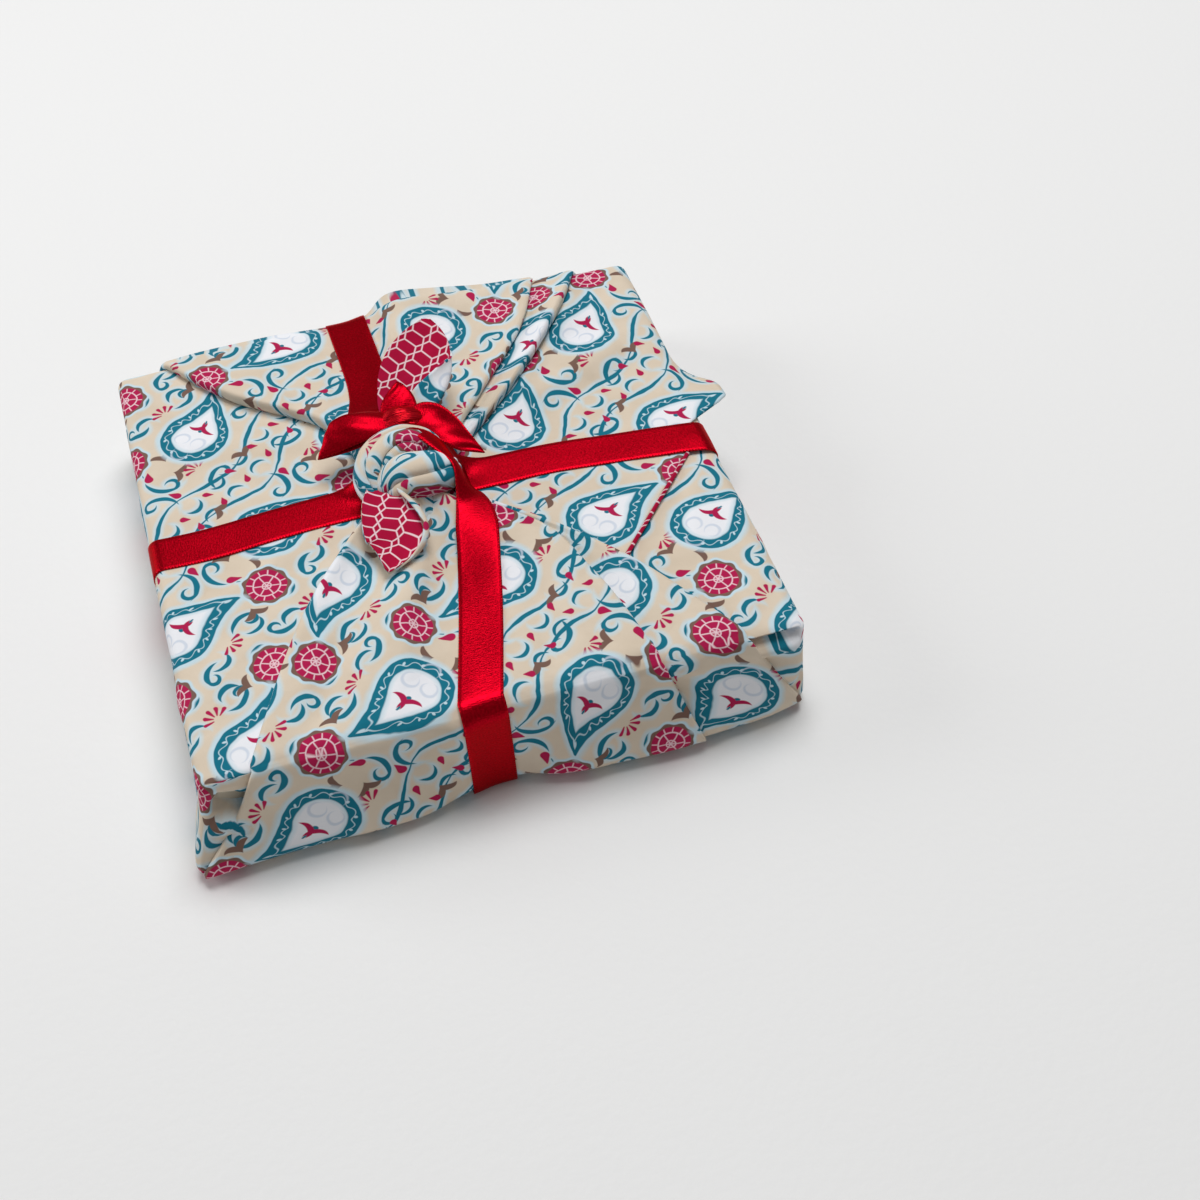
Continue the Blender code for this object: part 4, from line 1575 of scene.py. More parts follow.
class Nodes:
    """Makes the nodes of one material."""

    def __init__(self, name: str) -> None:
        """Starts a material of that name with its shader and output.

        Args:
            name: The material's name.
        """
        self.material = bpy.data.materials.new(name)
        self.material.use_nodes = True
        self.tree = self.material.node_tree
        self.shader = self.tree.nodes["Principled BSDF"]

    def fill(self, node: bpy.types.Node, inputs: dict[object, object]) -> None:
        """Gives a node's sockets their values or signals.

        Args:
            node: The node.
            inputs: The value or signal of each socket, by its name or number.
        """
        for key, value in inputs.items():
            if isinstance(value, Signal):
                self.tree.links.new(value.socket, node.inputs[key])
            else:
                node.inputs[key].default_value = value

    def node(self, kind: str, inputs: dict[object, object] | None = None,
             **settings: object) -> bpy.types.Node:
        """Adds a node.

        Args:
            kind: The node's type.
            inputs: Values or signals for its sockets, by name or number.
            settings: Its own settings, which are set first.

        Returns:
            The node.
        """
        made = self.tree.nodes.new(kind)
        for key, value in settings.items():
            setattr(made, key, value)
        self.fill(made, inputs or {})
        return made

    def finished(self, inputs: dict[object, object]) -> Material:
        """Gives the shader its values and signals, which ends the material."""
        self.fill(self.shader, inputs)
        return self.material

    def bump(self, height: Signal, strength: float) -> Signal:
        """The normal of a surface whose height is a signal in millimetres."""
        inputs = {"Strength": strength, "Distance": MM, "Height": height}
        return self.out(self.node("ShaderNodeBump", inputs))

    def out(self, node: bpy.types.Node, output: object = 0) -> Signal:
        """One of a node's outputs as a signal."""
        return Signal(self, node.outputs[output])

    def math(self, operation: str, *values: "Signal | float", hold: bool = False) -> Signal:
        """Adds a Math node on up to three values."""
        inputs = dict(enumerate(values))
        return self.out(self.node("ShaderNodeMath", inputs, operation=operation, use_clamp=hold))

    def mixed(self, share: "Signal | float", first: "Signal | Color", second: "Signal | Color") -> Signal:
        """Mixes two colours."""
        made = self.node("ShaderNodeMix", {0: share, 6: first, 7: second}, data_type="RGBA")
        return self.out(made, 2)

    def layered(self, color: Signal, *layers: tuple[Signal, float, Color]) -> Signal:
        """Paints shapes over a colour, one after another.

        Args:
            color: The colour below.
            layers: For each shape, the distance outside it, how soft its outline is, and its colour.

        Returns:
            The colour above.
        """
        for distance, soft, tint in layers:
            color = self.mixed(self.cover(distance, soft), color, tint)
        return color

    def length(self, x: Signal, y: Signal) -> Signal:
        """The distance of a place from the middle."""
        return self.math("SQRT", self.math("MULTIPLY_ADD", x, x, y * y))

    def cover(self, distance: Signal, soft: float = SHARP) -> Signal:
        """1 inside an outline, 0 outside it, and a soft step between."""
        return self.math("MULTIPLY_ADD", distance, -1.0 / soft, 0.5, hold=True)

    def noise(self, vector: Signal, scale: float, detail: float = 2.0) -> Signal:
        """A noise on a vector."""
        inputs = {"Vector": vector, "Scale": scale, "Detail": detail}
        return self.out(self.node("ShaderNodeTexNoise", inputs, noise_dimensions="3D"), "Fac")

    def flat_place(self) -> Signal:
        """The place on the flat cloth in metres, from the piece's own map."""
        return self.out(self.node("ShaderNodeUVMap"), "UV")

    def object_place(self) -> Signal:
        """The place on the parcel in metres."""
        return self.out(self.node("ShaderNodeTexCoord"), "Object")

    def split(self, vector: Signal, scale: float) -> Place:
        """A vector's first two numbers, times a scale."""
        made = self.node("ShaderNodeSeparateXYZ", {0: vector})
        return self.out(made, 0) * scale, self.out(made, 1) * scale

    def drop(self, place: Place, base: float, tip: float, height: float) -> Signal:
        """Distance outside a drop shape: a round base at the middle and a round tip along +x.

        Args:
            place: Where it is read, from the middle of its base.
            base: Radius of the base.
            tip: Radius of the tip.
            height: From the middle of the base to that of the tip.

        Returns:
            The distance, negative inside.
        """
        slope = (base - tip) / height
        upright = math.sqrt(1 - slope * slope)
        x, y = place
        side = abs(y)
        share = self.math("MULTIPLY_ADD", side, -slope / (upright * height), x * (1.0 / height), hold=True)
        reach = self.length(x - share * height, side)
        return reach - self.math("MULTIPLY_ADD", share, tip - base, base)

    def fan(self, place: Place, step: float, reach: float) -> Place:
        """Brings a place onto the nearest ray of a fan about the x axis.

        Args:
            place: The place.
            step: Degrees from one ray to the next.
            reach: Degrees from the x axis to the fan's outer side.

        Returns:
            The place, as counted along that ray.
        """
        x, y = place
        angle = self.math("ARCTAN2", y, x)
        inside = self.math("COMPARE", angle, 0.0, math.radians(reach))
        ray = angle.wrapped(math.radians(step / 2))
        reach_out = self.length(x, y)
        past = 20.0 - inside * 20.0
        return self.math("COSINE", ray) * reach_out + past, ray.sin() * reach_out

    def arc(self, place: Place, centre: Pair, radius: float, middle: float,
            half: float, width: float) -> Signal:
        """Distance outside a curved brush stroke that thins towards both ends.

        Args:
            place: Where it is read.
            centre: The middle of the stroke's circle.
            radius: The circle's radius.
            middle: The direction of the stroke's middle, in degrees.
            half: Half its length, in degrees.
            width: Half its width at the middle.

        Returns:
            The distance, negative inside.
        """
        x, y = moved(place, *centre)
        angle = (self.math("ARCTAN2", y, x) - math.radians(middle)).wrapped(math.pi)
        wide = self.math("MULTIPLY_ADD", angle * angle, -width / math.radians(half) ** 2, width)
        return abs(self.length(x, y) - radius) - wide


def moved(place: Place, along_x: float, along_y: float, turn: float = 0.0) -> Place:
    """A place as counted from another middle, and turned by some degrees.

    Args:
        place: The place.
        along_x: The new middle's x.
        along_y: The new middle's y.
        turn: How far the new axes are turned, in degrees.

    Returns:
        The place there.
    """
    x = place[0] - along_x if along_x else place[0]
    y = place[1] - along_y if along_y else place[1]
    if not turn:
        return x, y
    cos, sin = math.cos(math.radians(turn)), math.sin(math.radians(turn))
    maker = x.maker
    return maker.math("MULTIPLY_ADD", x, cos, y * sin), maker.math("MULTIPLY_ADD", y, cos, x * -sin)


@dataclass(frozen=True)
class Weave:
    """A fine plain weave: its thread pitch in millimetres, and how far it and creases stand up."""

    pitch: float = 0.45
    strength: float = 0.75
    crumple: float = 0.8
    pinch: float = 1.5

    def normal(self, nodes: Nodes, thread: Place, where: Signal) -> Signal:
        """The bumped normal of the cloth.

        Args:
            nodes: The material's nodes.
            thread: Place along both threads, in millimetres.
            where: Place on the parcel, in metres.

        Returns:
            The normal.
        """
        turn = 2 * math.pi / self.pitch
        weave = (thread[0] * turn).sin() * (thread[1] * turn).sin()
        small = nodes.noise(where, 520.0, 3.0)
        soft = nodes.noise(where, 85.0, 3.0)
        pinched = abs(nodes.noise(where, 48.0, 2.0) - 0.5)
        height = weave * 0.02 + small * 0.05 + soft * self.crumple + pinched * self.pinch
        return nodes.bump(height, self.strength)


@dataclass(frozen=True)
class PrintedCloth:
    """The outer face: curled drops, rosettes and scrolls on a beige ground, in mirrored columns."""

    ground: Color = (0.79, 0.685, 0.56, 1.0)
    ground_dark: Color = (0.62, 0.51, 0.385, 1.0)
    teal: Color = (0.006, 0.165, 0.245, 1.0)
    pale_blue: Color = (0.56, 0.72, 0.80, 1.0)
    white: Color = (0.84, 0.85, 0.89, 1.0)
    grey_blue: Color = (0.58, 0.65, 0.76, 1.0)
    crimson: Color = (0.44, 0.010, 0.075, 1.0)
    pink: Color = (0.86, 0.62, 0.67, 1.0)
    brown: Color = (0.19, 0.11, 0.085, 1.0)
    repeat: float = 54.0
    column: float = 51.0
    roughness: float = 0.86
    specular: float = 0.14
    sheen: float = 0.04
    weave: Weave = Weave()

    def tile(self, nodes: Nodes, flat: Place) -> Place:
        """The place inside one motif's tile: columns are mirrored and drop by half a repeat.

        Args:
            nodes: The material's nodes.
            flat: The place on the flat cloth.

        Returns:
            The place in the tile.
        """
        root = math.sqrt(0.5)
        lengthwise = (flat[0] + flat[1]) * root
        crosswise = (flat[1] - flat[0]) * root
        mirrored = nodes.math("PINGPONG", crosswise, self.column) - self.column / 2
        number = nodes.math("FLOOR", crosswise * (1.0 / self.column))
        odd = nodes.math("FLOORED_MODULO", number, 2.0)
        dropped = nodes.math("MULTIPLY_ADD", odd, self.repeat / 2, lengthwise)
        return dropped, mirrored

    def at(self, tile: Place, x: float, y: float, turn: float = 0.0, times: int = 1) -> Place:
        """The place from a point of the tile, which stands so many times in each repeat."""
        return moved(((tile[0] - x).wrapped(self.repeat / 2 / times), tile[1]), 0.0, y, turn)

    def scrolls(self, nodes: Nodes, tile: Place) -> Signal:
        """The teal vine and its shoots, each of which ends in a smaller curl.

        Args:
            nodes: The material's nodes.
            tile: The place in the tile.

        Returns:
            The distance outside the vine.
        """
        sway = 2 * math.pi / self.repeat
        line = self.at(tile, 0.0, -18.0)
        width = (line[0] * sway * 2 + 0.7).sin() * 0.3 + 0.6
        teal = abs(line[1] - (line[0] * sway).sin() * 4.2) - width
        shoots = (
            # x     y      radius middle half curl turn
            (10.0, -12.0,  7.5,   35,    65,  2.3,  1),
            (36.0, -24.0,  7.0,   110,   60,  2.2, -1),
            (27.0,  -2.5,  8.0,   200,   55,  2.4,  1),
            (44.0,   4.0,  7.5,   60,    62,  2.2, -1),
            (8.0,   21.0,  6.5,   -80,   60,  2.0,  1),
            (42.0,  24.5,  6.0,   -120,  58,  1.9, -1),
        )
        for x, y, radius, middle, half, curl, turn in shoots:
            spot = self.at(tile, x, y)
            teal = teal.least(nodes.arc(spot, (0.0, 0.0), radius, middle, half, 1.0))
            joint = middle + turn * 0.62 * half
            inward = tuple((radius - curl) * part(math.radians(joint)) for part in (math.cos, math.sin))
            teal = teal.least(nodes.arc(spot, inward, curl, joint + turn * 95, 150, 0.8))
        short = nodes.arc(self.at(tile, 4.5, -23.4, times=4), (0.0, 3.4), 3.6, -90, 78, 0.75)
        comma = nodes.arc(self.at(tile, 9.0, 22.6, times=3), (0.0, -3.6), 4.2, 85, 75, 0.95)
        stalk = nodes.drop(self.at(tile, 22.5, 4.6, 62.0, times=2), 0.22, 0.32, 6.4)
        return reduce(Signal.least, (teal, short, comma, stalk))

    def sprigs(self, nodes: Nodes, tile: Place) -> Signal:
        """The small crimson buds, and the sprays of five petals.

        Args:
            nodes: The material's nodes.
            tile: The place in the tile.

        Returns:
            The distance outside the buds and sprays.
        """
        red = [nodes.drop(self.at(tile, 22.5, 2.0, 48.0, times=2), 1.6, 0.2, 3.6),
               nodes.drop(self.at(tile, 11.2, -21.4, -60.0, times=4), 1.2, 0.2, 2.6),
               nodes.drop(self.at(tile, 20.0, -12.5, 100), 1.5, 0.2, 3.4)]
        for x, y, turn in ((34.5, -11.0, 90.0), (-1.0, 17.6, 80.0)):
            fan = nodes.fan(self.at(tile, x, y, turn), 34.0, 85.0)
            red.append(nodes.drop(moved(fan, 1.6, 0.0), 0.2, 0.7, 2.9))
        return reduce(Signal.least, red)

    def leaves(self, nodes: Nodes, tile: Place) -> Signal:
        """The small brown leaves in curling pairs.

        Args:
            nodes: The material's nodes.
            tile: The place in the tile.

        Returns:
            The distance outside the leaves.
        """
        pairs = []
        for x, y, turn in ((47.5, -22.5, 75), (14.5, 16.5, 110), (29.5, -4.5, -70), (33.0, 3.0, 60)):
            across, side = self.at(tile, x, y, turn)
            pairs.append(nodes.arc((across, abs(side)), (-0.6, 3.2), 3.3, -35, 62, 1.15))
        return reduce(Signal.least, pairs)

    def big_drop(self, nodes: Nodes, tile: Place, color: Signal) -> Signal:
        """Paints the large curled drop over what is there.

        Args:
            nodes: The material's nodes.
            tile: The place in the tile.
            color: What is painted so far.

        Returns:
            The new colour.
        """
        spot = self.at(tile, -6.5, 0.0)
        past = spot[0].most(0.0)
        bent = (spot[0], nodes.math("MULTIPLY_ADD", past * past, -0.017, spot[1]))
        edge = nodes.drop(bent, 12.6, 0.7, 23.0)
        around = nodes.math("ARCTAN2", bent[1], bent[0] - 3.0)
        color = nodes.layered(color, (edge - 1.5, 1.9, self.pale_blue), (edge, SHARP, self.teal))
        step = (around * 13.0).wrapped(math.pi) * 1.05
        commas = nodes.length(edge + 2.0 - step * 0.35, step) - 0.62
        tails = abs(edge + 2.3 + (around * 13.0 + 0.6).sin() * 0.75) - 0.16
        color = nodes.layered(color, (commas.least(tails), SHARP, self.pale_blue),
                              (edge + 4.2, 0.5, self.pale_blue), (edge + 5.0, 1.8, self.white))
        swirls = reduce(Signal.least, (nodes.arc(bent, (-3.0, 3.4), 2.7, 20, 150, 0.55),
                                       nodes.arc(bent, (-3.0, -3.4), 2.7, -20, 150, 0.55),
                                       nodes.arc(bent, (-9.6, 0.0), 3.0, 180, 110, 0.45)))
        color = nodes.mixed(nodes.cover(swirls, 0.5) * 0.75, color, self.grey_blue)
        heart = nodes.drop(moved(bent, 3.6, 0.0), 1.0, 0.3, 5.2)
        base = moved(bent, 3.2, 0.0)
        petals = nodes.arc(base, (4.6, 3.6), 4.2, 215, 62, 0.95).least(
            nodes.arc(base, (4.6, -3.6), 4.2, 145, 62, 0.95))
        return nodes.layered(color, (heart, SHARP, self.teal), (petals, SHARP, self.crimson))

    def rosette(self, nodes: Nodes, tile: Place, color: Signal) -> Signal:
        """Paints the round crimson rosette over what is there.

        Args:
            nodes: The material's nodes.
            tile: The place in the tile.
            color: What is painted so far.

        Returns:
            The new colour.
        """
        x, y = self.at(tile, 25.5, 14.6)
        reach = nodes.length(x, y)
        around = nodes.math("ARCTAN2", y, x)
        scallop = (around * 9.0).sin() * 0.35
        rays = abs((around * 6.0).sin()) * reach * 0.17 - 0.2
        rings = abs(reach - 4.6) - 0.24
        inner = abs((around * 3.0 + 0.4).sin()) * reach * 0.33 - 0.2
        net = rings.least(rays.most(4.6 - reach)).least(inner.most(reach - 4.6))
        net = net.least(abs(reach - 1.5) - 0.22).most(reach - 6.7)
        return nodes.layered(
            color, (reach - 9.0 - scallop, 0.7, self.pale_blue),
            (reach - 8.0 - scallop, SHARP, self.brown),
            (reach - 6.9, SHARP, self.crimson), (net, SHARP, self.pink))

    def make(self) -> Material:
        """Makes the material.

        Returns:
            The material.
        """
        nodes = Nodes("printed_cloth")
        flat = nodes.flat_place()
        drift = nodes.noise(flat, 150.0, 1.0) * 1.1
        place = nodes.split(flat, 1.0 / MM)
        tile = self.tile(nodes, (place[0] + drift, place[1] - drift))
        mottle = nodes.noise(flat, 60.0, 4.0)
        color = nodes.mixed(mottle, self.ground_dark, self.ground)
        teal = self.scrolls(nodes, tile)
        color = nodes.mixed(nodes.cover(teal - 1.1, 1.7) * 0.85, color, self.pale_blue)
        color = nodes.layered(color, (teal, SHARP, self.teal),
                              (self.leaves(nodes, tile), SHARP, self.brown),
                              (self.sprigs(nodes, tile), SHARP, self.crimson))
        color = self.rosette(nodes, tile, color)
        color = self.big_drop(nodes, tile, color)
        root = math.sqrt(0.5)
        thread = ((place[0] + place[1]) * root, (place[1] - place[0]) * root)
        normal = self.weave.normal(nodes, thread, nodes.object_place())
        return nodes.finished({"Base Color": color, "Normal": normal, "Roughness": self.roughness,
                               "Specular IOR Level": self.specular, "Sheen Weight": self.sheen})


@dataclass(frozen=True)
class LatticeCloth:
    """The inner face: crimson with two pale honeycombs that interlace."""

    crimson: Color = (0.47, 0.003, 0.048, 1.0)
    deep: Color = (0.36, 0.002, 0.034, 1.0)
    line: Color = (0.86, 0.64, 0.68, 1.0)
    cell: float = 9.2
    half_line: float = 0.27
    roughness: float = 0.86
    specular: float = 0.12
    sheen: float = 0.02
    weave: Weave = Weave()

    def honeycomb(self, nodes: Nodes, place: Place) -> Signal:
        """Distance from the lines of a honeycomb.

        Args:
            nodes: The material's nodes.
            place: Where it is read.

        Returns:
            The distance.
        """
        tall = self.cell * math.sqrt(3)
        reaches = []
        for off in (0.0, 0.5):
            x = abs((place[0] + off * self.cell).wrapped(self.cell / 2))
            y = abs((place[1] + off * tall).wrapped(tall / 2))
            reaches.append(x.most(nodes.math("MULTIPLY_ADD", y, math.sqrt(3) / 2, x * 0.5)))
        return abs(reaches[0].least(reaches[1]) - self.cell / 2)

    def make(self) -> Material:
        """Makes the material.

        Returns:
            The material.
        """
        nodes = Nodes("lattice_cloth")
        flat = nodes.flat_place()
        place = nodes.split(flat, 1.0 / MM)
        first = self.honeycomb(nodes, place)
        second = self.honeycomb(nodes, moved(place, self.cell / 4, self.cell * 0.433))
        lines = first.least(second) - self.half_line
        mottle = nodes.noise(flat, 200.0, 2.0)
        color = nodes.mixed(mottle, self.deep, self.crimson)
        color = nodes.mixed(nodes.cover(lines, 0.25), color, self.line)
        normal = self.weave.normal(nodes, place, nodes.object_place())
        return nodes.finished({"Base Color": color, "Normal": normal, "Roughness": self.roughness,
                               "Specular IOR Level": self.specular, "Sheen Weight": self.sheen})


@dataclass(frozen=True)
class Satin:
    """Red satin ribbon with a fine cross grain and a picot edge, whose loops are painted lighter: partly
    their own thread, partly a painted highlight.
    """

    red: Color = (0.47, 0.0006, 0.011, 1.0)
    deep: Color = (0.29, 0.0003, 0.005, 1.0)
    sheen_tint: Color = (1.0, 0.05, 0.10, 1.0)
    # Lighter red of the picot loops: partly the thread itself, partly a painted highlight where the loops
    # catch the light.
    thread: Color = (0.8, 0.02, 0.03, 1.0)
    half_width: float = 7.5
    picot: float = 1.1
    grain: Three = (6.0, 1.0, 1.0)
    bump: float = 0.35
    specular: float = 0.15
    metallic: float = 0.72
    anisotropic: float = 0.6

    def make(self) -> Material:
        """Makes the material.

        Returns:
            The material.
        """
        nodes = Nodes("satin_ribbon")
        flat = nodes.flat_place()
        run, side = nodes.split(flat, 1.0 / MM)
        streaks = nodes.noise(flat, 1500.0, 2.0)
        color = nodes.mixed(nodes.cover(0.5 - streaks, 0.4), self.deep, self.red)
        rim = abs(side) - (self.half_width - 0.5)
        # Picot loops along both rims, mixed up to half way to the lighter red: the loops are real and are
        # also bumped below, and their lighter red is partly a painted highlight.
        loops = (run * (2 * math.pi / self.picot)).sin() * 0.5 + 0.5
        picot_and_glint = nodes.cover(-rim, 0.2) * loops
        color = nodes.mixed(picot_and_glint * 0.5, color, self.thread)
        stretched = nodes.node("ShaderNodeMapping", {"Vector": flat, "Scale": self.grain})
        grain = nodes.noise(nodes.out(stretched), 500.0, 2.0)
        soft = nodes.noise(flat, 60.0, 2.0)
        height = grain * 0.3 + loops * nodes.cover(-rim, 0.3) * 0.25 + soft * 0.4
        return nodes.finished({
            "Base Color": color, "Normal": nodes.bump(height, self.bump),
            "Roughness": streaks * 0.24 + 0.22, "Specular IOR Level": self.specular,
            "Specular Tint": self.sheen_tint, "Metallic": self.metallic,
            "Anisotropic": self.anisotropic})


@dataclass(frozen=True)
class Card:
    """Plain uncoated card."""

    color: Color = (0.60, 0.53, 0.42, 1.0)
    shade: Color = (0.51, 0.4505, 0.357, 1.0)
    roughness: float = 0.9

    def make(self) -> Material:
        """Makes the material.

        Returns:
            The material.
        """
        nodes = Nodes("box_card")
        color = nodes.mixed(nodes.noise(nodes.object_place(), 400.0, 4.0), self.shade, self.color)
        return nodes.finished({"Base Color": color, "Roughness": self.roughness})


@dataclass(frozen=True)
class Surface:
    """The plain pale surface that the parcel lies on."""

    color: Color = (0.85, 0.85, 0.85, 1.0)
    roughness: float = 0.9
    bump: float = 0.12

    def make(self) -> Material:
        """Makes the material.

        Returns:
            The material.
        """
        nodes = Nodes("pale_surface")
        normal = nodes.bump(nodes.noise(nodes.object_place(), 320.0, 4.0), self.bump)
        return nodes.finished({"Base Color": self.color, "Normal": normal, "Roughness": self.roughness})


def dress(pieces: Sequence[Object], material: Material) -> None:
    """Gives pieces one material.

    Args:
        pieces: The pieces.
        material: Their finish.
    """
    for piece in pieces:
        piece.data.materials.clear()
        piece.data.materials.append(material)


# --- Studio


@dataclass(frozen=True)
class Studio:
    """Floor, lights and camera."""

    eye: Three = (-57.128, -442.863, 477.682)
    azimuth: float = -14.4508
    elevation: float = 48.5534
    roll: float = -3.8414
    lens: float = 53.25
    sees: Pair = (0.01, 20.0)
    floor_size: float = 3.0
    # name, place in metres, side in metres, watts
    lamps = (("window", (-1.3, 0.65, 0.7), 0.8, 7.4), ("ceiling", (0.35, 0.5, 2.0), 1.1, 31.5))
    sky: Color = (1.0, 1.0, 0.985, 1.0)
    sky_strength: float = 0.22

    def camera(self) -> Object:
        """Places the camera that the scene is seen from.

        Returns:
            The camera.
        """
        angles = ((self.azimuth, "Z"), (90 - self.elevation, "X"), (self.roll, "Z"))
        turns = (Matrix.Rotation(math.radians(angle), 4, axis) for angle, axis in angles)
        data = bpy.data.cameras.new("camera")
        data.lens = self.lens
        data.clip_start, data.clip_end = self.sees
        camera = placed("camera", data)
        camera.matrix_world = reduce(operator.matmul, turns, Matrix.Translation(Vector(self.eye) * MM))
        bpy.context.scene.camera = camera
        return camera

    def light(self, name: str, place: Three, size: float,
              energy: float) -> Object:
        """Hangs a soft square light that looks at the parcel.

        Args:
            name: The light's name.
            place: Where it hangs, in metres.
            size: Its side, in metres.
            energy: In watts.

        Returns:
            The light.
        """
        data = bpy.data.lights.new(name, "AREA")
        data.size = size
        data.energy = energy
        lamp = placed(name, data)
        lamp.location = place
        lamp.rotation_euler = (-Vector(place)).to_track_quat("-Z", "Y").to_euler()
        return lamp

    def floor(self) -> Object:
        """Lays the floor.

        Returns:
            The floor.
        """
        mesh = bmesh.new()
        bmesh.ops.create_grid(mesh, x_segments=2, y_segments=2, size=self.floor_size)
        floor = placed("floor", mesh_data("floor", mesh))
        floor.data.materials.append(Surface().make())
        floor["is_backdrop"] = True
        return floor

    def world(self) -> None:
        """Lights everything softly from all round."""
        world = bpy.data.worlds.new("sky")
        world.use_nodes = True
        background = world.node_tree.nodes["Background"]
        background.inputs["Color"].default_value = self.sky
        background.inputs["Strength"].default_value = self.sky_strength
        bpy.context.scene.world = world
        bpy.context.scene.view_settings.view_transform = "Standard"

    def build(self) -> None:
        """Sets everything up."""
        self.camera()
        self.floor()
        for lamp in self.lamps:
            self.light(*lamp)
        self.world()


# --- This parcel's own folds


SOFT, LEFT_EDGE, RIGHT_EDGE, PLEAT = FoldKind

FRONT_STATIONS = (-98.0, -59.0, -34.0, -7.0)
FRONT_FOLDS = (
    # name, kind, x at the floor, x and height at each station from the edge to the knot
    Fold("left roll", LEFT_EDGE, -99, (-82, -63, -48, -25), (3.0, 4.4, 4.8, 7.0)),
    Fold("left slope", SOFT, -78, (-70, -54, -40, -22), (2.6, 3.4, 4.0, 7.5)),
    Fold("left hollow", SOFT, -60, (-54, -40, -26, -18), (2.2, 2.0, 2.8, 8.5)),
    Fold("ridge", SOFT, -38, (-35, -24.0, -14, -15), (3.2, 8.4, 8.6, 11.0)),
    Fold("valley", SOFT, -23, (-23, -16.5, -7, -10), (2.0, 1.6, 2.4, 9.0)),
    Fold("ribbon seat", SOFT, -2, (0, 8.5, 12, -4), (2.1, 3.0, 4.6, 9.5)),
    Fold("crown", SOFT, 28, (27, 26, 21, 0), (2.4, 4.0, 5.2, 8.5)),
    Fold("pleat", PLEAT, 64, (50, 40.5, 30.5, 3), (4.4, 6.6, 6.4, 7.4)),
    Fold("between", SOFT, 80, (64, 47.5, 32.6, 5), (2.3, 2.8, 2.6, 5.0)),
    Fold("right roll", RIGHT_EDGE, 99, (79, 56, 36, 7), (3.0, 4.2, 3.6, 4.8)),
)
FRONT_TUCK = (30.0, 36.0, 20.0, 3.0)

BACK_STATIONS = (98.0, 70.0, 44.0, 7.0)
BACK_FOLDS = (
    Fold("left roll", LEFT_EDGE, -99, (-81, -60, -31, -20), (3.0, 5.2, 5.4, 7.5)),
    Fold("left hollow", SOFT, -60, (-50, -38, -23, -15), (4.4, 2.8, 3.6, 8.5)),
    Fold("ribbon left", SOFT, -22, (-20, -19, -18, -13), (2.2, 2.6, 3.4, 8.5)),
    Fold("ribbon right", SOFT, -4, (-3, -3.5, -6, -10), (2.0, 2.6, 3.4, 8.5)),
    Fold("side of the roll", SOFT, 3, (3.4, 1.0, -3, -8), (8.4, 7.4, 5.2, 9.2)),
    Fold("great roll", SOFT, 10, (10, 7, 2, -6), (10.2, 9.2, 6.4, 9.5)),
    Fold("behind the roll", SOFT, 24, (22, 17, 8, -4), (8.6, 5.2, 4.4, 9.0)),
    Fold("fall", SOFT, 44, (42, 31, 16, -2), (5.0, 3.4, 4.4, 8.5)),
    Fold("crease", PLEAT, 72, (64, 52, 31, 1), (3.4, 4.6, 4.6, 7.0)),
    Fold("right roll", RIGHT_EDGE, 99, (80, 65, 42, 5), (2.6, 5.0, 4.8, 5.0)),
)
BACK_TUCK = (30.0, 34.0, 18.0, 3.0)

